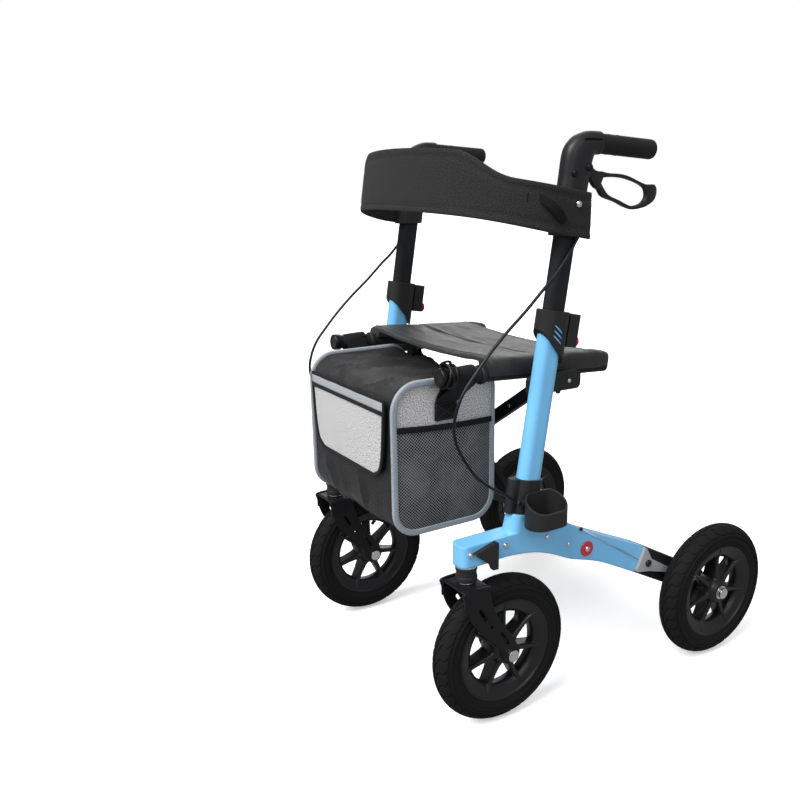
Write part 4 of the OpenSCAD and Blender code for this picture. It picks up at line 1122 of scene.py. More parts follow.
def rim_spoke(name, inner, outer, half):
    """One deep spoke that narrows towards the rim, about the origin."""
    rings = []
    for t, wide, deep in SPOKE_STATIONS:
        r = inner + (outer - inner) * t
        w, d = wide * MM, half * deep
        rings.append([Vector((d * squared(math.sin(a), 0.35), w * squared(math.cos(a), 0.5), r))
                      for a in angles(16, 0.5)])
    return loft(name, rings)


def make_rim(node, body, out):
    """Rim with its hub and spokes in one piece, and the tyre's valve."""
    c, radius, hub = wheel_box(node)
    half = hub * RIM_WIDTH_SHARE
    ring = mirrored([(half * share, radius - down * MM) for share, down in RIM_EDGE])
    rim = lathe(node + "_ring", ring, c, segments=96, closed=True)
    boss = lathe(node + "_hub", mirrored([(hub * share, r * MM) for share, r in HUB_EDGE]), c, closed=True)
    spoke = rim_spoke(node + "_spokes", SPOKE_FROM, radius - SPOKE_SHORT, half)
    spokes = grow(spoke, repeat_tree(), {"Count": sizes().spoke_count, "Centre": c, "Material": rim_black()})
    merge_into(rim, boss, spokes)
    shade_by_angle(rim, 42.0)
    dress(rim, body, rim_black(), "rim_plastic", node)
    y, z = math.cos(VALVE_TURN), math.sin(VALVE_TURN)
    way = Vector((out * VALVE_LEAN_SHARE, -y, -z)).normalized()
    seat = c + Vector((out * half * VALVE_OUT_SHARE, y * (radius - VALVE_DEEP), z * (radius - VALVE_DEEP)))
    stem = lathe(node + "_valve", mm(VALVE), seat, axis=way, segments=20)
    dress(stem, body, black_plastic(), "black_plastic")


def slot_outline(y0, z0, y1, z1, r):
    """Round-ended slot between two points."""
    turn = math.atan2(z1 - z0, y1 - y0)
    out = []
    for y, z, start in ((y1, z1, -90), (y0, z0, 90)):
        for k in range(9):
            a = turn + math.radians(start + 180 * k / 8)
            out.append(((y + r * math.cos(a)) * MM, (z + r * math.sin(a)) * MM))
    return out


def make_fork(side, sign):
    """Caster fork: two curved blades under a rolled crown, with the washer of its stem."""
    x = FRAME_X * sign
    body = f"{side}_caster"
    outline = flat(on_side(0, FORK_BLADE, 4, closed=True))
    parts = []
    for e in (-1, 1):
        place = x + e * FORK_HALF
        blade = plate(f"fork_{side}_{'out' if e > 0 else 'in'}", outline, place, FORK_PLATE, FORK_ROUND, 2)
        parts.append(cut(blade, [plate("slot", slot_outline(*q), place, SLOT_TOOL) for q in FORK_SLOTS]))
    path = [Vector((x + a * MM, CROWN_Y, z * MM)) for a, z in FORK_CROWN]
    parts.append(strap_band(f"fork_crown_{side}", bend(path, 4), CROWN_WIDE, FORK_PLATE))
    parts.append(lathe(f"fork_washer_{side}", mm(FORK_WASHER), (x, STEM_Y, WASHER_Z), axis="Z", segments=40,
                       closed=True))
    merge_into(*parts)
    shade_by_angle(parts[0], 45.0)
    dress(parts[0], body, black_steel(), "black_steel", f"caster_fork_{side}")
    nut = lathe(f"caster_nut_{side}", mm(CASTER_NUT), (x, STEM_Y, NUT_Z), axis="Z", segments=6)
    dress(nut, body, bright_steel(), "bright_steel")


def make_wheels():
    """Both caster forks, then the tyres and rims."""
    for side, sign in SIDES:
        make_fork(side, sign)
    for side, sign in SIDES:
        for end in ("front", "rear"):
            body = f"{side}_{end}_wheel"
            make_tyre(f"{end}_tyre_{side}", body)
            make_rim(f"{end}_rim_{side}", body, sign)


# Handles

BEND = Vector((0.0, -0.0590, 0.880))
BEND_R = 0.063
GRIP_Y = BEND.y + 0.29 * BEND_R
GRIP_Z = BEND.z + 0.72 * BEND_R
GRIP_SLOPE = math.radians(3.4)
GRIP_WAY = (0, math.cos(GRIP_SLOPE), -math.sin(GRIP_SLOPE))
GRIP_GAP = 0.001
GRIP_L = 0.116
GRIP_R = 15 * MM
GRIP_FRONT = ((0, 10), (0, 14.2), (1.2, 15.2))
GRIP_END = ((4, 15.4), (2.2, 14.8), (0.8, 13.4), (0, 11.4), (0, 0))
GRIP_RINGS = (19 * MM, 38 * MM)
GRIP_RING = 0.5 * MM
GRIP_RING_WIDE = 0.9 * MM
GRIP_COLLAR = ((-5, 9), (-5, 15.6), (-3, 16.6), (0, 16.6), (1, 15.6), (1, 9))
HOUSING_OUT = ((-129, 790.5), (-121, 828), (-113, 866), (-109.5, 890), (-107, 906), (-103, 918), (-96, 927),
               (-86, 935), (-72, 940.5), (-60, 943), (-40.7, 943))
HOUSING_IN = ((-73.5, 790.5), (-68, 827), (-62.5, 864), (-59, 880), (-57, 892), (-55.5, 898), (-54.5, 902),
              (-53.5, 905.5), (-52.5, 907.5), (-49, 908.3), (-40.7, 908.5))
HOUSING_HALF = 17 * MM
HOUSING_SLOT = ((15.6, -80, 930.0), (16.2, -70, 930.3), (16.6, -60, 930.3), (16.7, -46, 929.8))
PIVOT = Vector((0.0, -0.06952, 0.88958))
HOUSING_BOLT = (16.6 * MM, -0.0981, 0.8810)
LEVER_SCREW_OUT = 16.2 * MM
BACK_BOLT = (0.2572, -0.0951, 0.8366)
LEVER_OUT = ((-37, 884.7), (-17.7, 882.1), (11.8, 880.4), (32.1, 875.8), (46, 870.7), (67, 864.7),
             (84.4, 865.2), (91.4, 856.8), (89, 843.5), (81.5, 836.3), (62.9, 828.6), (39, 825.6),
             (23.6, 828.8), (-2, 838.5), (-28.5, 846.2), (-38.7, 857.3), (-48.6, 864.2), (-46, 876))
LEVER_IN = ((-30.1, 874.5), (-7.6, 875.7), (15.5, 873.9), (42.8, 867.6), (58.7, 860.5), (64.6, 850.9),
            (62, 840.2), (50.4, 833.6), (31.8, 832.2), (7.7, 840.8), (-15.8, 849.6), (-27.8, 861.9),
            (-33.7, 871))
LEVER_NECK = ((-76, 896), (-66, 900), (-56, 894), (-46, 886.5), (-36, 883.5), (-29, 876), (-33, 866),
              (-40, 858.5), (-49, 864.5), (-60, 878), (-74, 882))
LEVER_ROOT = ((-5, 4.1), (-5, 8.6), (-4, 9.5), (4, 9.5), (5, 8.6), (5, 4.1))
LEVER_HALF = 5 * MM
LEVER_ROUND = 2.2 * MM
LEVER_MIDDLE = (0.018, 0.8535)


def make_housing(side, sign):
    """Bent handle housing in oval sections from the tube to the grip, with its collar, slot and bolts."""
    x = FRAME_X * sign
    handle = f"{side}_handle"
    edges = zip(on_side(x, HOUSING_OUT, 5), on_side(x, HOUSING_IN, 5))
    body = loft(f"housing_{side}", [oval(a, b, HOUSING_HALF, 28, 0.85, 0.75) for a, b in edges])
    shade_by_angle(body, 50.0)
    dress(body, handle, soft_black(), "black_plastic", f"handle_housing_{side}")
    collar = lathe(f"grip_collar_{side}", mm(GRIP_COLLAR), (x, GRIP_Y, GRIP_Z), axis=GRIP_WAY, closed=True)
    dress(collar, handle, soft_black(), "black_plastic")
    line = [Vector((x + sign * q * MM, y * MM, z * MM)) for q, y, z in HOUSING_SLOT]
    slot = sweep(f"housing_slot_{side}", line, 0.5 * MM, 1.5 * MM, 10)
    dress(slot, handle, seam_black(), "black_plastic")
    out, y, z = HOUSING_BOLT
    bolt = screw_head("housing_bolt", side, (x + sign * out, y, z), (sign, 0, 0))
    dress(bolt, handle, black_steel(), "black_plastic")
    spot = (x + sign * LEVER_SCREW_OUT, PIVOT.y, PIVOT.z)
    screw = screw_head("lever_screw", side, spot, (sign, 0, 0))
    dress(screw, handle, black_steel(), "black_plastic", f"handle_screws_{side}")
    stud = screw_head("back_bolt", side, on_one(sign, BACK_BOLT), (sign, 0, 0))
    dress(stud, handle, bright_steel(), "bright_steel")


def make_grip(side, sign):
    """Soft grip with two fine rings near its front and a rounded end."""
    profile = mm(GRIP_FRONT)
    for k in range(56):
        t = 3 * MM + (GRIP_L - 9 * MM) * k / 55
        ring = GRIP_RING * sum(math.exp(-((t - at) / GRIP_RING_WIDE) ** 2) for at in GRIP_RINGS)
        profile.append((t, GRIP_R + 0.5 * MM * t / GRIP_L + ring))
    profile += [(GRIP_L - back * MM, r * MM) for back, r in GRIP_END]
    grip = lathe(f"soft_grip_{side}", profile, (FRAME_X * sign, GRIP_Y + GRIP_GAP, GRIP_Z), axis=GRIP_WAY)
    shade_by_angle(grip, 50.0)
    dress(grip, f"{side}_handle", grip_rubber(), "grip_rubber", f"grip_{side}")


def leaves(loop, centre, angle):
    """Where a ray from a centre crosses a closed (y, z) loop."""
    c, n = math.cos(angle), math.sin(angle)
    far = 0.0
    for a, b in zip(loop, loop[1:] + loop[:1]):
        ey, ez = b.y - a.y, b.z - a.z
        det = c * ez - n * ey
        if abs(det) < 1e-12:
            continue
        ay, az = a.y - centre.y, a.z - centre.z
        along = (ay * ez - az * ey) / det
        share = (ay * n - az * c) / det
        if along > far and -1e-6 <= share <= 1 + 1e-6:
            far = along
    return Vector((loop[-1].x, centre.y + far * c, centre.z + far * n))


def make_lever(side, sign):
    """Loop lever: rounded sections between its outer and inner outlines, on a flat neck round the pivot."""
    x = FRAME_X * sign
    outer = on_side(x, LEVER_OUT, 6, closed=True)
    inner = on_side(x, LEVER_IN, 6, closed=True)
    centre = Vector((x, *LEVER_MIDDLE))
    rings = []
    for a in angles(110):
        out, within = leaves(outer, centre, a), leaves(inner, centre, a)
        rings.append(oval(out, within, LEVER_HALF, 14, 0.7, 0.6))
    loop = loft(f"lever_{side}", rings, closed=True)
    outline = flat(on_side(x, LEVER_NECK, 4, closed=True))
    neck = plate(f"lever_neck_{side}", outline, x, 2 * LEVER_HALF, LEVER_ROUND)
    root = lathe(f"lever_root_{side}", mm(LEVER_ROOT), (x, PIVOT.y, PIVOT.z), closed=True)
    merge_into(loop, neck, root)
    shade_by_angle(loop, 50.0)
    dress(loop, f"{side}_lever", soft_black(), "black_plastic", f"brake_lever_{side}")


def make_handles():
    """Housing, grip and lever of each side."""
    for side, sign in SIDES:
        make_housing(side, sign)
        make_grip(side, sign)
        make_lever(side, sign)


# Brake cables

CABLE_ROUTE = ((248.5, -87, 789), (249, -97, 772), (251, -129, 735), (252, -153, 714), (252, -187, 683),
               (252, -222, 654), (252, -252, 626), (252, -280, 596), (252, -299, 573), (252, -311, 548),
               (252, -316, 520), (252, -308, 488), (252, -280, 444), (252, -252, 419), (252, -223, 400),
               (252, -202, 385), (252, -191, 378))
CABLE_R = 2.5 * MM
WIRE_ENDS = ((0.2541, -0.059, 0.3034), (0.2541, 0.0795, 0.2127))
WIRE_R = 0.8 * MM
FERRULE_L = 9 * MM
FERRULE_R = 3.6 * MM
GROMMET = ((0, 0.8), (0, 3.4), (1.6, 3.4), (3.2, 2.2), (3.2, 0.8))
GROMMET_AT = (0.2525, -0.0615, 0.3048)


def on_one(sign, point):
    """A point of the left side, or its mirror image on the right."""
    return Vector((point[0] * sign, point[1], point[2]))


def make_cables():
    """Jacket, bare wire, ferrules and grommet of each side."""
    for side, sign in SIDES:
        held = f"{side}_frame"
        route = [on_one(sign, p) for p in mm(CABLE_ROUTE)]
        line = bend(route, 6)
        jacket = sweep(f"cable_{side}", line, CABLE_R, CABLE_R, 12)
        wire = sweep(f"wire_{side}", [on_one(sign, p) for p in WIRE_ENDS], WIRE_R, WIRE_R, 10)
        jacket.data.materials.append(cable_black())
        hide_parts(f"brake_cable_{side}")
        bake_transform(jacket)
        dress(wire, held, bright_steel(), "bright_steel")
        for name, body, spot, way in (("ferrule_top", f"{side}_handle", route[0], route[0] - route[1]),
                                      ("ferrule_low", held, route[-1], route[-1] - route[-2])):
            profile = [(-FERRULE_L, CABLE_R), (-FERRULE_L, FERRULE_R * 0.85), (-FERRULE_L * 0.5, FERRULE_R),
                       (0.0, FERRULE_R), (0.0, CABLE_R)]
            cap = lathe(f"{name}_{side}", profile, spot, axis=way.normalized(), segments=24, closed=True)
            dress(cap, body, black_plastic(), "black_plastic")
        grommet = lathe(f"grommet_{side}", mm(GROMMET), on_one(sign, GROMMET_AT), axis=(sign, 0, 0),
                        segments=28, closed=True)
        dress(grommet, held, black_plastic(), "black_plastic")


# Seat

RAIL_X = 0.182
RAIL_Y = -0.112
RAIL_Z = 0.572
RAIL_TILT = math.radians(3.0)
RAIL_WAY = (0, math.cos(RAIL_TILT), -math.sin(RAIL_TILT))
SEAT_FRONT, SEAT_REAR = -0.100, 0.122
SEAT_STATIONS = 72
SEAM_SHARE = 0.455
SEAT_HEM = 0.009
SLING_TOP, SLING_SAG, SLING_THICK = 27.2, 7.5, 4.5
SLING_STEPS = 44
PAD_OUT = ((12.9, -0.5), (16.2, -1.4), (17.3, 3), (17.4, 10), (16.9, 17), (14.6, 22.4), (9.8, 25.6),
           (3.5, 26.9), (-5, 27.2))
PAD_IN = ((-19.0, 17.6), (-17.1, 10.1))
PAD_TOP_IN = ((-13, 25.2), (-17.6, 21))
PAD_BORE = 12.85
PAD_FROM, PAD_ROUND_FROM, PAD_ROUND = 118, 138, 18.5
PAD_ROUND_ANGLES = (12, 25, 38, 50, 62, 73, 82)
PAD_MIDDLE, PAD_WAVY = 11, 15
RAIL_COLLAR = ((-4, 12.5), (-4, 14.6), (-3, 15.4), (3, 15.4), (4, 14.6), (4, 12.5))
RAIL_COLLAR_AT = -0.1085
RAIL_SCREW_AT = -0.054
RAIL_CAP = ((-0.8, 0), (-0.8, 9), (-1.4, 11), (-0.6, 14), (1.4, 14.6), (11, 14.6), (13, 12.6))
RAIL_CAP_AT = -0.185
TIE_TURNS = ((-0.176, 17.4, 0.25), (-0.170, 18.6, -0.2), (-0.163, 17.6, 0.1))
TIE_UP = 1.5
TIE_BOW = ((0, 16, -172), (4, 21, -181), (3, 24, -170), (-3, 21, -159), (0, 16, -166))
BRACKET_SCREW_AT = (0.2206, -0.070, 0.556)
BRACKET_STOP = ((0, 4.2), (-3.4, 4.2), (-5, 2.8), (-5, 0))
BRACKET_STOP_AT = (0.217, -0.090, 0.5415)
BRACE_RIVETS = {"left": ("bar_b", (0.1142, -0.1112, 0.4969)), "right": ("bar_a", (0.1142, -0.1252, 0.4969))}


def rail_point(x, up, s):
    """A point in the seat rails' own frame: across, over the axis and behind the brace."""
    c, n = math.cos(RAIL_TILT), math.sin(RAIL_TILT)
    return Vector((x, RAIL_Y + s * c + up * n, RAIL_Z - s * n + up * c))


def pad_outside():
    """Outside of a pad, from the foot of its outer side to its top."""
    return drawn(PAD_OUT, 3)


def pad_arc():
    """Inside of a pad, over the rail from its outer side to its inner side."""
    turns = (math.radians(4 + 146 * k / 12) for k in range(13))
    return [(PAD_BORE * math.cos(a), PAD_BORE * math.sin(a)) for a in turns]


def seat_section(s):
    """Closed section of the padded sling at a station along the rails."""
    share = (s - SEAT_FRONT) / (SEAT_REAR - SEAT_FRONT)
    pad = pad_outside()
    lip = (3.0 * (1 - min((s - SEAT_FRONT) / 0.010, 1.0)) ** 2
           + 2.0 * (1 - min((SEAT_REAR - s) / 0.006, 1.0)) ** 2)
    past = share - SEAM_SHARE
    seam = math.exp(-(past / 0.013) ** 2)
    if past < 0:
        roll = math.sin(math.pi * held_in(share / SEAM_SHARE))
    else:
        roll = math.sin(math.pi * held_in(past / (1 - SEAM_SHARE)))

    def eased(x, h, u):
        pull = 0.9 * math.sin(40 * share + 7 * u) * math.exp(-((abs(u) - 0.72) / 0.15) ** 2)
        crease = 2.0 * math.sin(60 * past + 9 * u) * math.exp(-(past / 0.10) ** 2)
        ripple = rippled((x * 0.7, s * 1.4, 0), 15.0, 1.3, 3.0) + rippled((x, s * 2.2, 0), 48.0, 0.4, 8.0)
        calm = max(0.0, 1 - abs(u) ** 8)
        return h - lip + (1.8 * roll - 3.2 * seam + (pull + ripple + crease * 0.5) * (1 - seam)) * calm

    def dented(a, h, way):
        soft = held_in((h - 4) / 16)
        x = way * (RAIL_X / MM + a) * MM
        return x, (h - soft * (lip + 1.1 * seam) + soft * rippled((x, s, 0), 30.0, 1.1, 5.0)) * MM

    right = [dented(a, h, 1.0) for a, h in pad]
    left = [dented(a, h, -1.0) for a, h in reversed(pad)]
    top, under = [], []
    for k in range(1, SLING_STEPS):
        u = 1 - 2 * k / SLING_STEPS
        x = u * (RAIL_X - 5 * MM)
        h = eased(x, SLING_TOP - SLING_SAG * (1 - u * u), u)
        top.append((x, h * MM))
        if abs(x) < RAIL_X - 22 * MM:
            under.append((x, (h - SLING_THICK) * MM))
    inside = [*PAD_IN, *reversed(pad_arc())]
    inside_left = [(-RAIL_X - a * MM, h * MM) for a, h in reversed(inside)]
    inside_right = [(RAIL_X + a * MM, h * MM) for a, h in inside]
    loop = right + top + left + inside_left + under[::-1] + inside_right
    return [rail_point(x, h, s) for x, h in loop]


def pad_end(side, sign):
    """The pad that runs on behind the sling, closing in a round end."""
    outline = pad_outside() + [*PAD_TOP_IN, *PAD_IN[1:], *reversed(pad_arc())]
    stations = []
    for k in range(17):
        stations.append((PAD_FROM + (PAD_ROUND_FROM - PAD_FROM) * k / 16, 1.0 - 0.12 * (k / 16) ** 2))
    for a in map(math.radians, PAD_ROUND_ANGLES):
        stations.append((PAD_ROUND_FROM + PAD_ROUND * math.sin(a), 0.88 * math.cos(a)))
    loops = []
    for s, size in stations:
        wave = 0.5 * math.sin(s * 0.21)
        scale = 0.35 + 0.65 * size
        ring = []
        for a, h in outline:
            up = PAD_MIDDLE + (h - PAD_MIDDLE) * scale + (wave if h > PAD_WAVY else 0)
            ring.append(rail_point(sign * (RAIL_X + (a * scale) * MM), up * MM, s * MM))
        loops.append(ring)
    pad = loft(f"rail_pad_{side}", loops)
    shade_by_angle(pad, 60.0)
    dress(pad, f"{side}_rail", seat_leather(), "seat_cloth")


def rail_tie():
    """Spare cord wound round the near rail and tied in a bow."""
    loops = []
    for k, (at, r, lean) in enumerate(TIE_TURNS):
        path = [rail_point(RAIL_X + r * MM * math.cos(a), (r * math.sin(a) + TIE_UP) * MM,
                           at + lean * r * MM * math.sin(a)) for a in angles(28)]
        loops.append(sweep(f"rail_tie_{k}", path, 2.1 * MM, 2.1 * MM, 10, closed=True))
    bow = [rail_point(RAIL_X - 6 * MM + dx * MM, h * MM, at * MM) for dx, h, at in TIE_BOW]
    loops.append(sweep("rail_tie_bow", bend(bow, 6, closed=True), 2.0 * MM, 2.0 * MM, 10, closed=True))
    merge_into(loops[0], *loops[1:])
    dress(loops[0], "left_rail", cable_black(), "black_plastic")


def rail_trim(side, sign):
    """Collar, screw, tie and cap of a seat rail, with the bracket's and the brace's small pieces."""
    body = f"{side}_rail"
    spot = rail_point(RAIL_X * sign, 0, RAIL_COLLAR_AT)
    ring = lathe(f"rail_collar_{side}", mm(RAIL_COLLAR), spot, axis=RAIL_WAY, segments=40, closed=True)
    dress(ring, body, black_plastic(), "black_plastic")
    spot = rail_point((RAIL_X + 12.3 * MM) * sign, 4 * MM, RAIL_SCREW_AT)
    rivet = screw_head("rail_screw", side, spot, (sign, 0, 0))
    dress(rivet, body, bright_steel(), "bright_steel")
    if sign > 0:
        rail_tie()
    nose = rail_point(RAIL_X * sign, 0, RAIL_CAP_AT)
    cap = lathe(f"rail_cap_{side}", mm(RAIL_CAP), nose, axis=RAIL_WAY, segments=48)
    dress(cap, body, cable_black(), "black_plastic")
    screw = screw_head("bracket_screw", side, on_one(sign, BRACKET_SCREW_AT), (sign, 0, 0))
    dress(screw, f"{side}_frame", bright_steel(), "bright_steel")
    spot = on_one(sign, BRACKET_STOP_AT)
    stop = lathe(f"bracket_stop_{side}", mm(BRACKET_STOP), spot, axis="Z", segments=24)
    dress(stop, f"{side}_frame", black_plastic(), "black_plastic")
    bar, spot = BRACE_RIVETS[side]
    rivet = screw_head("brace_rivet", side, on_one(sign, spot), (0, -1, 0))
    dress(rivet, bar, bright_steel(), "bright_steel")


def make_seat():
    """Sling with its hems, then the pads and trim of the rails."""
    span = SEAT_REAR - SEAT_FRONT
    stations = (SEAT_FRONT + span * i / SEAT_STATIONS for i in range(SEAT_STATIONS + 1))
    seat = loft("seat", [seat_section(s) for s in stations])
    shade_by_angle(seat, 60.0)
    dress(seat, "left_rail", seat_leather(), "seat_cloth", "seat_sling")
    soft = [seat]
    for k, s in enumerate((SEAT_FRONT + SEAT_HEM, SEAT_REAR - SEAT_HEM)):
        row = [p + Vector((0, 0, 0.0004)) for p in seat_section(s)[14:80]]
        line = stitches(f"seat_stitch_{k}", row, thread_black())
        soft.append(dress(line, "left_rail", thread_black(), "seat_cloth"))
    for obj in soft:
        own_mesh(obj)
    for side, sign in SIDES:
        pad_end(side, sign)
        rail_trim(side, sign)


# Backrest

BACK_X = 0.2543
BACK_END = -0.069
BACK_BOW = -0.127
BACK_DEEP = 0.147
BACK_SHARES = ((1.1, 0.0), (0.9, 0.0), (0.82, 0.12), (0.74, 0.41), (0.66, 0.7), (0.58, 0.9), (0.48, 0.985),
               (0.0, 1.0))
BACK_LOW = 0.7835
BACK_LOW_SLOPE = 0.1618
BACK_END_H, BACK_RISE = 0.069, 0.035
BACK_H_SCALE = 1.013
BACK_ROWS = 30
BACK_HEM = 0.010
BACK_SEAM = 0.0115
LEAN_SHARE = 0.16
LEAN_Z = 0.81
LIFT, LIFT_ALL = 9 * MM, 1.5 * MM
LIFT_FROM_Z, LIFT_OVER = 0.89, 0.07
LOOP_ROUTE = ((0.2395, -0.181, 0.846), (0.2425, -0.172, 0.8465), (0.2495, -0.162, 0.845),
              (0.2610, -0.150, 0.8365), (0.2650, -0.139, 0.8250), (0.2605, -0.130, 0.8165),
              (0.2585, -0.123, 0.8105))


def back_rise(x):
    """Share of the band's rise at a distance from the middle."""
    curve = drawn(BACK_SHARES, 12)
    share = min(abs(x) / BACK_X, 1.1)
    for (a, fa), (b, fb) in zip(curve, curve[1:]):
        if b <= share <= a:
            return fb + (fa - fb) * (share - b) / max(a - b, 1e-9)
    return curve[0][1] if share > 1 else curve[-1][1]


def back_plan():
    """Stations of the band: place and outward direction, from the left end to the right end."""
    out = []
    for k in range(12):
        y = BACK_END + (BACK_BOW - BACK_END) * k / 12
        out.append((Vector((BACK_X, y, 0)), Vector((1, 0, 0))))
    for k in range(97):
        a = math.pi * k / 96
        p = Vector((BACK_X * math.cos(a), BACK_BOW - BACK_DEEP * math.sin(a), 0))
        n = Vector((math.cos(a) / BACK_X, -math.sin(a) / BACK_DEEP, 0)).normalized()
        out.append((p, n))
    for k in range(1, 13):
        y = BACK_BOW + (BACK_END - BACK_BOW) * k / 12
        out.append((Vector((-BACK_X, y, 0)), Vector((-1, 0, 0))))
    return out


def back_half(d, height):
    """Half of the band's thickness at a distance from its lower edge."""
    e = min(d, height - d)
    if e < BACK_HEM:
        return 0.0013 + 0.0017 * math.sqrt(max(0.0, 1 - ((e - 0.005) / 0.0052) ** 2))
    t = min((e - BACK_HEM) / 0.012, 1.0)
    return 0.0014 + 0.0016 * math.sin(t * math.pi / 2)


def lean_band(obj):
    """Leans a piece of the backrest forward between its ends and lifts its lower edge."""
    for v in obj.data.vertices:
        bow = 1 - min(1.0, abs(v.co.x) / BACK_X) ** 6
        v.co.y += LEAN_SHARE * (v.co.z - LEAN_Z) * bow
        v.co.z += bow * (LIFT * held_in((LIFT_FROM_Z - v.co.z) / LIFT_OVER) - LIFT_ALL)


def make_backrest():
    """Padded band with four rows of stitches, and the loop at its left end."""
    rings = []
    lines = {k: [] for k in ("low", "high", "low_in", "high_in")}
    plan = back_plan()
    for i, (p, n) in enumerate(plan):
        low = BACK_LOW + BACK_LOW_SLOPE * (BACK_END - p.y)
        height = BACK_H_SCALE * (BACK_END_H + BACK_RISE * back_rise(p.x))
        swell = math.sin(math.pi * i / (len(plan) - 1))
        outer, inner = [], []
        for k in range(BACK_ROWS + 1):
            v = 0.5 - 0.5 * math.cos(math.pi * k / BACK_ROWS)
            half = back_half(v * height, height)
            q = Vector((p.x, p.y, low + v * height))
            wave = rippled(q, 9.0, 1.2 * MM, 5.0) * math.sin(math.pi * v) * swell
            outer.append(q + n * (half + wave))
            inner.append(q - n * (half - wave))
        rings.append(outer + inner[::-1])
        for key, d in (("low", BACK_SEAM), ("high", height - BACK_SEAM)):
            q = Vector((p.x, p.y, low + d))
            wave = rippled(q, 9.0, 1.2 * MM, 5.0) * math.sin(math.pi * d / height) * swell
            lines[key].append(q + n * (back_half(d, height) + wave + 0.0002))
            lines[key + "_in"].append(q - n * (back_half(d, height) - wave + 0.0002))
    band = loft("back_band", rings)
    unwrap(band, lambda co: (math.atan2(co.x, -co.y) * 0.22, co.z))
    shade_by_angle(band, 60.0)
    dress(band, "left_handle", band_cloth(), "band_cloth", "backrest")
    soft = [band]
    for key, path in lines.items():
        row = stitches(f"back_stitch_{key}", path, thread_black())
        soft.append(dress(row, "left_handle", thread_black(), "band_cloth"))
    loop = sweep("back_loop", bend(LOOP_ROUTE, 8), 1.1 * MM, 7.5 * MM, 10, square=0.5)
    unwrap(loop, along_side)
    soft.append(dress(loop, "left_handle", webbing(), "band_cloth"))
    for obj in soft:
        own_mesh(obj)
        lean_band(obj)
    declare_sheet(loop)


# Bag

BAG_X = 0.145
BAG_Y0, BAG_Y1 = -0.361, -0.168
BAG_Z0, BAG_Z1 = 0.320, 0.572
BAG_RADII = (0.042, 0.042, 0.024, 0.046)
BAG_STATIONS = 44
PANEL_RINGS = 9
POCKET_FRONT_Z, POCKET_REAR_Z = 0.4995, 0.4915
STRAP_Y = -0.265
STRAP_R = 14.4 * MM
STRAP_WIDE, STRAP_THICK = 0.040, 2.2 * MM
PATCH_Z0, PATCH_Z1 = 0.5065, 0.5310
PATCH_HALF = 0.0185
PATCH_WIDE, PATCH_THICK = 0.042, 2.4 * MM
FLAP_Y = -0.3643
FLAP_TOP, FLAP_LOW = 0.545, 0.411
FLAP_TOP_X, FLAP_LOW_X = 0.1325, 0.1200
STRIP_X = 0.1280


def bag_loop(inset=0.0):
    """Outline of the bag's sides, drawn in by an inset."""
    radii = [max(r - inset, 0.004) for r in BAG_RADII]
    return round_rect(BAG_Y0 + inset, BAG_Z0 + inset, BAG_Y1 - inset, BAG_Z1 - inset, radii, 10)


def bag_path(inset, pitch, x=0.0):
    """Evenly spaced points round the bag's outline, in a plane across X."""
    return [Vector((x, p.y, p.z)) for p in spaced([Vector((0, a, b)) for a, b in bag_loop(inset)], pitch)]


def soft_panel(name, pts, height, place, back, rule):
    """Closed panel over an outline: height lifts its face, place and back put points in space."""
    mid = sum(pts, Vector()) / len(pts)
    n = len(pts)
    verts, faces = [], []
    for i in range(PANEL_RINGS):
        t = 1 - i / PANEL_RINGS
        for p in pts:
            q = mid + (p - mid) * t
            verts.append(place(q, height(q, t)))
    verts.append(place(mid, height(mid, 0.0)))
    top = PANEL_RINGS * n
    for i in range(PANEL_RINGS - 1):
        for k in range(n):
            after = (k + 1) % n
            faces.append((i * n + k, i * n + after, (i + 1) * n + after, (i + 1) * n + k))
    for k in range(n):
        faces.append((top - n + k, top - n + (k + 1) % n, top))
    base = len(verts)
    verts += [back(p) for p in pts]
    for k in range(n):
        after = (k + 1) % n
        faces.append((k, base + k, base + after, after))
    faces.append(tuple(base + k for k in range(n)))
    obj = outward(mesh_object(name, verts, faces))
    unwrap(obj, rule)
    shade_by_angle(obj, 50.0)
    return obj


def domed(name, loop, x, dome, sign, wave, seed):
    """Soft panel on a side of the bag."""
    def height(q, t):
        return dome * (1 - t ** 4) + rippled(q, 22.0, wave, seed) * (1 - t ** 2)

    return soft_panel(name, [Vector((0, a, b)) for a, b in loop], height,
                      lambda q, h: Vector((x + sign * h, q.y, q.z)),
                      lambda p: Vector((x - sign * 1.0 * MM, p.y, p.z)), along_side)


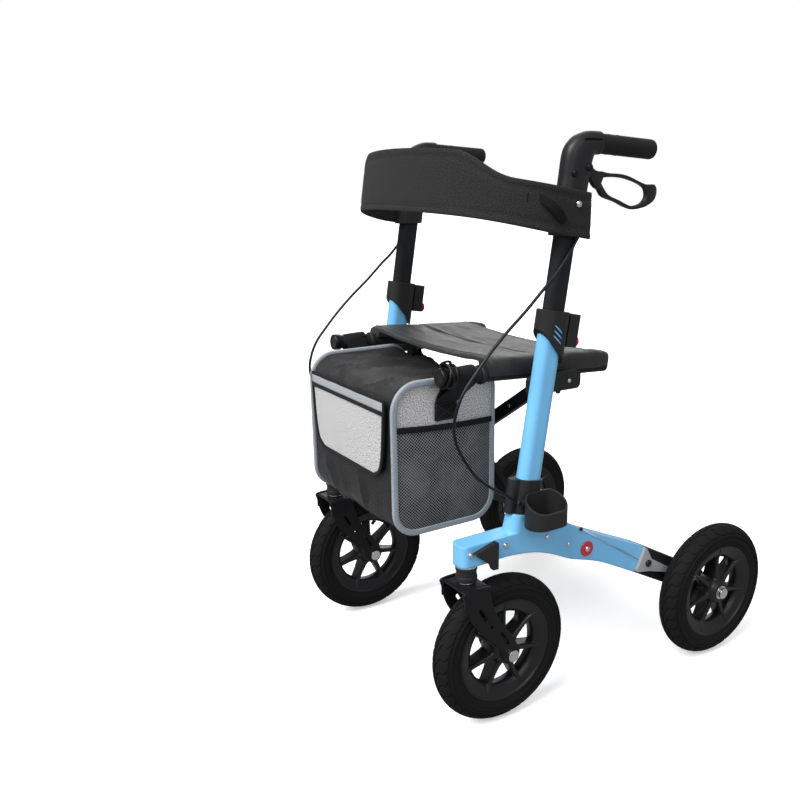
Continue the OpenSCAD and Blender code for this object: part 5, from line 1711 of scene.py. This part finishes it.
def bag_shell():
    """Nylon body: a soft shell that sags between its two bound sides."""
    loop = bag_path(0.0035, 0.009)
    rings = []
    for i in range(BAG_STATIONS + 1):
        u = -1 + 2 * i / BAG_STATIONS
        x = u * (BAG_X - 0.001)
        slack = 1 - u ** 4
        ring = []
        for p in loop:
            q = Vector((x, p.y, p.z))
            up = (p.z - BAG_Z0) / (BAG_Z1 - BAG_Z0)
            ahead = (BAG_Y1 - p.y) / (BAG_Y1 - BAG_Y0)
            q.z += slack * (-0.014 * up ** 3 * (0.4 + 0.6 * (1 - abs(2 * ahead - 1))) - 0.004 * (1 - up) ** 3)
            q.y += slack * (-0.003 * ahead ** 4 if up < 0.45 else 0.0)
            fold = rippled((x * 1.2 + p.y * 0.8, p.y * 0.5, p.z * 0.4), 17.0, 6.5 * MM, 2.0) \
                + rippled((x, p.y, p.z), 60.0, 0.9 * MM, 7.0)
            lean = rippled((x, p.y, p.z), 9.0, 1.4, 4.0)
            ridge = (1 - abs(math.sin(30 * x - 24 * p.y + lean))) ** 3
            pleat = (1 - abs(math.sin(27 * x + 6 * p.z + lean))) ** 3
            q.z += slack * (fold + 8.0 * MM * ridge if up > 0.8 else 0.3 * fold)
            below = held_in((0.34 - up) / 0.1)
            q.y += slack * below * ((0.9 * fold - 5.0 * MM * pleat) if ahead > 0.8 else 0.0)
            ring.append(q)
        rings.append(ring)
    shell = loft("bag_shell", rings)
    unwrap(shell, lambda co: (co.x, co.y + co.z))
    shade_by_angle(shell, 60.0)
    return shell


def pocket_top(y):
    """Height of the net pocket's upper edge at a place along the bag."""
    return POCKET_FRONT_Z + (POCKET_REAR_Z - POCKET_FRONT_Z) * (y - BAG_Y0) / (BAG_Y1 - BAG_Y0)


def pocket_loop():
    """Outline of the net pocket: the bag's side, cut along the pocket's upper edge."""
    kept = []
    for y, z in bag_loop(0.008):
        p = (y, min(z, pocket_top(y)))
        if not kept or (abs(p[0] - kept[-1][0]) + abs(p[1] - kept[-1][1])) > 1e-5:
            kept.append(p)
    return flat(spaced([Vector((0, a, b)) for a, b in kept], 0.006))


def bag_side(side, sign):
    """Bound side of the bag: melange panel, net pocket with its elastic top, binding tape and strap."""
    x = BAG_X * sign
    panel = domed(f"bag_panel_{side}", bag_loop(0.004), x, 3.0 * MM, sign, 1.0 * MM, 1.0)
    made = [dress(panel, "left_rail", melange(), "bag_cloth")]
    pocket = domed(f"bag_pocket_{side}", pocket_loop(), x + sign * 2.2 * MM, 6.5 * MM, sign, 3.0 * MM, 4.0)
    made.append(dress(pocket, "left_rail", pocket_mesh(), "bag_cloth"))
    band = []
    for k in range(13):
        y = BAG_Y0 + 0.007 + (BAG_Y1 - BAG_Y0 - 0.014) * k / 12
        bow = math.sin(math.pi * k / 12)
        band.append(Vector((x + sign * (4.6 + 2.2 * bow) * MM, y, pocket_top(y) - 2.0 * MM * bow)))
    elastic = sweep(f"bag_elastic_{side}", bend(band, 4), 1.6 * MM, 4.8 * MM, 12, square=0.6)
    unwrap(elastic, along_side)
    made.append(dress(elastic, "left_rail", webbing(), "bag_cloth"))
    half = sizes().tape_width / 2
    path = bag_path(half - 1.6 * MM, 0.007, x + sign * 1.2 * MM)
    tape = sweep(f"bag_tape_{side}", path, 3.4 * MM, half, 14, closed=True, square=0.55)
    unwrap(tape, along_side)
    made.append(dress(tape, "left_rail", binding(), "bag_cloth"))
    seam = bag_path(sizes().tape_width - 3.6 * MM, 0.004, x + sign * 4.5 * MM)
    row = stitches(f"bag_tape_stitch_{side}", seam, thread_grey(), closed=True)
    made.append(dress(row, "left_rail", thread_grey(), "bag_cloth"))
    return made + bag_strap(side, sign)


def strap_band(name, path, width, thickness):
    """Flat band along a path that lies in an X-Z plane, wide along Y."""
    return sweep(name, path, width / 2, thickness / 2, 16, up=(0, 1, 0), square=0.35)


def bag_strap(side, sign):
    """Webbing from the panel over the rail and back, with its sewn patch."""
    rail = rail_point(RAIL_X * sign, 0, (STRAP_Y - RAIL_Y) / math.cos(RAIL_TILT))

    def at(x, aft, z):
        return Vector((x * sign, STRAP_Y + aft * MM, z))

    path = [at(BAG_X + 5.2 * MM, 0, 0.507), at(BAG_X + 5.3 * MM, 0, 0.520), at(BAG_X + 6.4 * MM, 0, 0.5325),
            at(RAIL_X - 18 * MM, 4, 0.5445), at(RAIL_X - 4 * MM, 7, 0.5575)]
    for k in range(13):
        a = math.radians(-47.5 + 210 * k / 12)
        path.append(at(RAIL_X + STRAP_R * math.cos(a), 10, rail.z + STRAP_R * math.sin(a)))
    path += [at(RAIL_X - 23 * MM, 7, 0.5620), at(BAG_X + 6.4 * MM, 3, 0.5420),
             at(BAG_X + 4.2 * MM, 0, 0.5320), at(BAG_X + 3.6 * MM, 0, 0.5240)]
    strap = strap_band(f"bag_strap_{side}", bend(path, 3), STRAP_WIDE, STRAP_THICK)
    unwrap(strap, lambda co: (co.y, co.z + co.x))
    made = [dress(strap, "left_rail", webbing(), "bag_cloth")]
    x = (BAG_X + 5.2 * MM) * sign
    patch_path = [Vector((x + sign * out * MM, STRAP_Y, z)) for out, z in (
        (1.4, PATCH_Z0 - 2 * MM), (1.6, (PATCH_Z0 + PATCH_Z1) / 2), (1.4, PATCH_Z1 + 2 * MM))]
    patch = strap_band(f"bag_patch_{side}", patch_path, PATCH_WIDE, PATCH_THICK)
    unwrap(patch, along_side)
    made.append(dress(patch, "left_rail", webbing(), "bag_cloth"))
    y0, y1 = STRAP_Y - PATCH_HALF, STRAP_Y + PATCH_HALF
    corners = [(y0, PATCH_Z0), (y1, PATCH_Z0), (y1, PATCH_Z1), (y0, PATCH_Z1)]
    rows = (corners + corners[:1], corners[::2], corners[::-2])
    for k, row in enumerate(rows):
        line = stitches(f"bag_patch_stitch_{side}_{k}", [Vector((x + sign * 2.9 * MM, a, b)) for a, b in row],
                        thread_black())
        made.append(dress(line, "left_rail", thread_black(), "bag_cloth"))
    return made


def flap_loop(inset=0.0):
    """Outline of the flap in (x, z) pairs: straight sides, round lower corners and a straight lower edge."""
    top, x_top, x_low, z_low = FLAP_TOP - inset, FLAP_TOP_X - inset, FLAP_LOW_X - inset, FLAP_LOW + inset
    side = [(x_top, top), (x_top - 0.004, top - 0.05), (x_low + 0.003, z_low + 0.036),
            (x_low - 0.006, z_low + 0.012), (x_low - 0.026, z_low)]
    curve = drawn(side, 6)
    return curve + [(-a, b) for a, b in reversed(curve)]


def flap_height(q, t):
    """Height of the flap's face: domed, with ripples inside its edge and none on its middle point."""
    ripple = rippled(q, 18.0, 0.8 * MM, 6.0) * (1 - t ** 2) if t else 0.0
    return 1.3 * MM * (1 - t ** 4) + ripple


def bag_flap_pieces():
    """Front flap: melange cloth, black binding, and the reflective strip under the hem."""
    pts = spaced([Vector((a, 0, b)) for a, b in flap_loop(0.003)], 0.006)
    face = soft_panel("flap_face", pts, flap_height, lambda q, h: Vector((q.x, FLAP_Y - h, q.z)),
                      lambda p: Vector((p.x, FLAP_Y + 1.6 * MM, p.z)), along_front)
    made = [dress(face, "bag_flap", melange(), "flap_cloth", "bag_flap")]
    edge = spaced([Vector((a, FLAP_Y - 0.4 * MM, b)) for a, b in flap_loop(0.0028)], 0.006)
    rim = sweep("flap_binding", edge, 2.3 * MM, 3.6 * MM, 12, closed=True, up=(0, 1, 0), square=0.6)
    unwrap(rim, along_front)
    made.append(dress(rim, "bag_flap", webbing(), "flap_cloth"))
    for name, z, half, mat, out in (("flap_strip", 0.5340, 7.2 * MM, reflective(), 1.9 * MM),
                                    ("flap_line", 0.5225, 3.0 * MM, webbing(), 1.8 * MM)):
        path = []
        for k in range(17):
            y = FLAP_Y - out - rippled((k * 0.05, 0, z), 9.0, 0.4 * MM)
            path.append(Vector((STRIP_X * (1 - 2 * k / 16), y, z)))
        strip = sweep(name, path, 0.9 * MM, half, 12, up=(0, 1, 0), square=0.4)
        unwrap(strip, along_front)
        made.append(dress(strip, "bag_flap", mat, "flap_cloth"))
    return made


def declare_sheet(obj):
    """Measures a piece's spans along the three axes and sorts them; nothing is kept."""
    spans = []
    for k in range(3):
        places = [v.co[k] for v in obj.data.vertices]
        spans.append(max(places) - min(places))
    spans.sort()


def make_bag():
    """Shell, sides and flap."""
    shell = bag_shell()
    made = [dress(shell, "left_rail", nylon(), "bag_cloth", "bag_body")]
    for side, sign in SIDES:
        made += bag_side(side, sign)
    made += bag_flap_pieces()
    for obj in made:
        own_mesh(obj)
        for start, held in (("bag_panel", "stretched"), ("bag_pocket", "gathered"), ("flap_face", "hung"),
                            ("bag_strap", "folded")):
            if obj.name.startswith(start):
                declare_sheet(obj)


# Small trim

UPRIGHT_TILT = math.radians(9.19)
UPRIGHT_FOOT = (234, -175.3, 328)
INLAY_TURN = math.radians(35)
INLAY_HALF = 10.9
INLAY_FROM, INLAY_PITCH = 309.84, 8
INLAY_IN, INLAY_W = 14.0, 1.25
COLLAR_HALF_X, COLLAR_HALF_Y = 20.5, 28
LOCK_HEAD = ((-8, 0), (-8, 5.9), (3.4, 5.9), (3.4, 8.4), (4.2, 9), (7.6, 9), (8.8, 7.8), (9.2, 5), (9.2, 0))
LOCK_Y, LOCK_T = 47, 307.9
BEAM_FACE_X = 0.2525
HEAD_SIZES = {
    "housing_bolt": (5.6, 3.4), "lever_screw": (6.0, 4.2), "back_bolt": (5.4, 4.6), "rail_screw": (3.2, 1.8),
    "bracket_screw": (3.8, 2.2), "brace_rivet": (3.4, 1.8), "screw": (4.6, 3.4), "ring_bolt": (5.6, 5.0),
}
BEAM_SCREWS = ((-0.2867, 0.314), (-0.2194, 0.314), (-0.1343, 0.3084), (-0.0876, 0.2839))
RING_BOLT_AT = (-0.046, 0.265)
ARM_BOLT = ((0, 0), (0, 6.6), (2.2, 6.6), (3.6, 5), (3.6, 2.6), (1.6, 2.3), (1.6, 0))
ARM_BOLT_AT = (0.09868, 0.20289)
ARM_BOLT_OUT = 7.5 * MM
RED_WASHER = ((0, 6), (0, 13.6), (1.4, 13.6), (2, 12.6), (2, 6.8), (1.2, 6))
STEER_RING = ((0, 9), (0, 14.4), (0.8, 15), (2.4, 15), (3.2, 14.4), (3.2, 9))
STEER_RING_Z = 0.2615
CUP_RING = ((0, 12), (0, 17.2), (0.8, 17.9), (2.6, 17.9), (3.4, 17.2), (3.4, 12))
CUP_RING_Z = 0.2887


def screw_head(kind, label, centre, axis):
    """Domed screw head with a flat top, of the size of its kind."""
    radius, height = (value * MM for value in HEAD_SIZES[kind])
    profile = [(0.0, 0.0), (0.0, radius), (height * 0.35, radius), (height * 0.75, radius * 0.8),
               (height, radius * 0.42), (height, 0.0)]
    return lathe(f"{kind}_{label}", profile, centre, axis=axis, segments=28)


def on_upright(sign, x, y, t):
    """A place beside the upright's axis, t along it from the beam."""
    c, d = math.cos(UPRIGHT_TILT), math.sin(UPRIGHT_TILT)
    foot_x, foot_y, foot_z = UPRIGHT_FOOT
    return Vector((sign * (foot_x + x) * MM, (foot_y + y * c + t * d) * MM, (foot_z - y * d + t * c) * MM))


def make_collar_trim(side, sign):
    """Blue inlays in the collar's slits, and the red head of the lock button."""
    c, n = math.cos(INLAY_TURN), math.sin(INLAY_TURN)
    inlays = []
    for k in range(3):
        rings = []
        for j in range(9):
            along = INLAY_HALF * (j / 4 - 1)
            y, t = along * c, -along * n
            far = COLLAR_HALF_X * math.sqrt(1 - (y / COLLAR_HALF_Y) ** 2) - 0.2
            up = INLAY_FROM + INLAY_PITCH * k + t
            ring = ((INLAY_IN, -INLAY_W), (far, -INLAY_W), (far, INLAY_W), (INLAY_IN, INLAY_W))
            rings.append([on_upright(sign, x, y + h * n, up + h * c) for x, h in ring])
        inlays.append(loft(f"collar_inlay_{side}_{k}", rings))
    merge_into(*inlays)
    shade_by_angle(inlays[0], 40.0)
    dress(inlays[0], f"{side}_frame", blue_coat(), "blue_casting")
    way = on_upright(sign, 0, 1, 0) - on_upright(sign, 0, 0, 0)
    spot = on_upright(sign, 0, LOCK_Y, LOCK_T)
    head = lathe(f"lock_head_{side}", mm(LOCK_HEAD), spot, axis=way.normalized(), segments=48)
    dress(head, f"{side}_button", red_gloss(), "red_plastic", f"lock_button_{side}")


def make_beam_trim(side, sign):
    """Screw heads, bolts and the red washer on the beam, and the rings of the steering bearing."""
    x = BEAM_FACE_X * sign
    body = f"{side}_frame"
    out = (sign, 0, 0)
    heads = [screw_head("screw", f"{k}_{side}", (x, *place), out) for k, place in enumerate(BEAM_SCREWS)]
    bolt = screw_head("ring_bolt", side, (x, *RING_BOLT_AT), out)
    spot = (x + sign * ARM_BOLT_OUT, *ARM_BOLT_AT)
    pin = lathe(f"arm_bolt_{side}", mm(ARM_BOLT), spot, axis=out, segments=36)
    merge_into(heads[0], *heads[1:], bolt)
    heads[0].name = f"frame_heads_{side}"
    shade_by_angle(heads[0], 50.0)
    dress(heads[0], body, bright_steel(), "bright_steel", f"frame_screws_{side}")
    dress(pin, body, black_plastic(), "black_plastic")
    spot = (x, *RING_BOLT_AT)
    washer = lathe(f"red_washer_{side}", mm(RED_WASHER), spot, axis=out, segments=48, closed=True)
    dress(washer, body, red_gloss(), "red_plastic")
    for name, profile, z, holder in (("steer_ring", STEER_RING, STEER_RING_Z, f"{side}_caster"),
                                     ("cup_ring", CUP_RING, CUP_RING_Z, body)):
        spot = (FRAME_X * sign, STEM_Y, z)
        ring = lathe(f"{name}_{side}", mm(profile), spot, axis="Z", segments=48, closed=True)
        dress(ring, holder, bright_steel(), "bright_steel")


def make_trim():
    """Trim of the collars, then of the beams."""
    for side, sign in SIDES:
        make_collar_trim(side, sign)
    for side, sign in SIDES:
        make_beam_trim(side, sign)


# Stage

FLOOR_R = 30.0
WORLD_SEEN = (1.0, 1.0, 1.0, 1.0)
WORLD_CAST = (0.97, 0.98, 1.0, 1.0)
WORLD_STRENGTH = 0.38
SUNS = (("key", (-0.12, 0.8, -1.0), 4.0, 40.0), ("side", (-1.0, 0.2, -0.6), 0.6, 40.0),
        ("back", (0.75, -0.62, -0.42), 0.55, 45.0))
SUN_HEIGHT = 3.0
CAMERA_AT = (1.248, -0.973, 0.868)
CAMERA_AZ, CAMERA_EL = math.radians(55.82), math.radians(15.26)
SENSOR = 36.0
LENS = SENSOR * 853.0 / 800.0
SHIFT_X, SHIFT_Y = -0.08125, 0.01875


def make_world():
    """White behind the object for the camera, and a softer white that lights it."""
    world = bpy.data.worlds.new("studio")
    world.use_nodes = True
    tree = world.node_tree
    seen = tree.nodes["Background"]
    seen.inputs["Color"].default_value = WORLD_SEEN
    cast = tree.nodes.new("ShaderNodeBackground")
    cast.inputs["Color"].default_value = WORLD_CAST
    cast.inputs["Strength"].default_value = WORLD_STRENGTH
    ray = tree.nodes.new("ShaderNodeLightPath")
    mix = tree.nodes.new("ShaderNodeMixShader")
    tree.links.new(ray.outputs["Is Camera Ray"], mix.inputs[0])
    tree.links.new(cast.outputs[0], mix.inputs[1])
    tree.links.new(seen.outputs[0], mix.inputs[2])
    tree.links.new(mix.outputs[0], tree.nodes["World Output"].inputs["Surface"])
    bpy.context.scene.world = world


def make_suns():
    """Soft suns from the front, the near side and behind."""
    for name, way, strength, angle in SUNS:
        lamp = bpy.data.lights.new(name, "SUN")
        lamp.energy = strength
        lamp.angle = math.radians(angle)
        obj = put_in_scene(name, lamp)
        obj.location = (0.0, 0.0, SUN_HEIGHT)
        obj.rotation_euler = Vector(way).to_track_quat("-Z", "Y").to_euler()


def make_camera():
    """Camera of the photograph, fitted to the wheels and the frame's lines."""
    data = bpy.data.cameras.new("photo")
    data.sensor_width = SENSOR
    data.lens = LENS
    data.shift_x = SHIFT_X
    data.shift_y = SHIFT_Y
    camera = put_in_scene("photo", data)
    level = math.cos(CAMERA_EL)
    back = Vector((math.sin(CAMERA_AZ) * level, -math.cos(CAMERA_AZ) * level, math.sin(CAMERA_EL)))
    camera.location = CAMERA_AT
    camera.rotation_euler = (-back).to_track_quat("-Z", "Y").to_euler()
    bpy.context.scene.camera = camera


def make_stage():
    """White floor, world, suns and camera."""
    bpy.ops.mesh.primitive_circle_add(vertices=96, radius=FLOOR_R, fill_type="NGON")
    floor = bpy.context.object
    floor.name = "floor"
    floor.data.materials.append(floor_white())
    floor.visible_diffuse = False
    floor.visible_glossy = False
    make_world()
    make_suns()
    view = bpy.context.scene.view_settings
    view.view_transform = "Standard"
    view.look = "None"
    make_camera()


# Operators and panel


class ROLLATOR_OT_solids(bpy.types.Operator):
    """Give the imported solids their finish"""

    bl_idname = "rollator.solids"
    bl_label = "Finish solids"

    def execute(self, context):
        paint_solids()
        return {"FINISHED"}


class ROLLATOR_OT_wheels(bpy.types.Operator):
    """Make the caster forks and the tyres, rims and valves of the four wheels"""

    bl_idname = "rollator.wheels"
    bl_label = "Wheels"

    def execute(self, context):
        make_wheels()
        return {"FINISHED"}


class ROLLATOR_OT_handles(bpy.types.Operator):
    """Make the handle housings, grips, brake levers and their screws"""

    bl_idname = "rollator.handles"
    bl_label = "Handles"

    def execute(self, context):
        make_handles()
        return {"FINISHED"}


class ROLLATOR_OT_cables(bpy.types.Operator):
    """Make the brake cables, bare wires, ferrules and grommets"""

    bl_idname = "rollator.cables"
    bl_label = "Brake cables"

    def execute(self, context):
        make_cables()
        return {"FINISHED"}


class ROLLATOR_OT_seat(bpy.types.Operator):
    """Make the sling seat, its pads and the trim of the rails and brackets"""

    bl_idname = "rollator.seat"
    bl_label = "Seat"

    def execute(self, context):
        make_seat()
        return {"FINISHED"}


class ROLLATOR_OT_backrest(bpy.types.Operator):
    """Make the padded backrest band and its loop"""

    bl_idname = "rollator.backrest"
    bl_label = "Backrest"

    def execute(self, context):
        make_backrest()
        return {"FINISHED"}


class ROLLATOR_OT_bag(bpy.types.Operator):
    """Make the bag, its pockets, straps and flap"""

    bl_idname = "rollator.bag"
    bl_label = "Bag"

    def execute(self, context):
        make_bag()
        return {"FINISHED"}


class ROLLATOR_OT_trim(bpy.types.Operator):
    """Make the collar inlays, lock heads, screw heads, washers and rings"""

    bl_idname = "rollator.trim"
    bl_label = "Trim"

    def execute(self, context):
        make_trim()
        return {"FINISHED"}


class ROLLATOR_OT_stage(bpy.types.Operator):
    """Make the floor, world, lights and camera"""

    bl_idname = "rollator.stage"
    bl_label = "Stage"

    def execute(self, context):
        make_stage()
        return {"FINISHED"}


OPERATORS = (ROLLATOR_OT_stage, ROLLATOR_OT_solids, ROLLATOR_OT_wheels, ROLLATOR_OT_handles,
             ROLLATOR_OT_cables, ROLLATOR_OT_seat, ROLLATOR_OT_backrest, ROLLATOR_OT_bag, ROLLATOR_OT_trim)


class ROLLATOR_PT_panel(bpy.types.Panel):
    """Lists the rollator's colours, sizes and pieces"""

    bl_label = "Rollator"
    bl_idname = "ROLLATOR_PT_panel"
    bl_space_type = "VIEW_3D"
    bl_region_type = "UI"
    bl_category = "Rollator"

    def draw(self, context):
        layout = self.layout
        for group in (context.scene.rollator_colours, context.scene.rollator_sizes):
            for name in group.__annotations__:
                layout.prop(group, name)
        for cls in OPERATORS:
            layout.operator(cls.bl_idname)


CLASSES = (RollatorColours, RollatorSizes, *OPERATORS, ROLLATOR_PT_panel)


def register():
    for cls in CLASSES:
        bpy.utils.register_class(cls)
    bpy.types.Scene.rollator_colours = bpy.props.PointerProperty(type=RollatorColours)
    bpy.types.Scene.rollator_sizes = bpy.props.PointerProperty(type=RollatorSizes)


def unregister():
    del bpy.types.Scene.rollator_sizes
    del bpy.types.Scene.rollator_colours
    for cls in reversed(CLASSES):
        bpy.utils.unregister_class(cls)


def main():
    register()
    bpy.ops.rollator.stage()
    bpy.ops.rollator.solids()
    bpy.ops.rollator.wheels()
    bpy.ops.rollator.handles()
    bpy.ops.rollator.cables()
    bpy.ops.rollator.seat()
    bpy.ops.rollator.backrest()
    bpy.ops.rollator.bag()
    bpy.ops.rollator.trim()


if __name__ == "__main__":
    main()
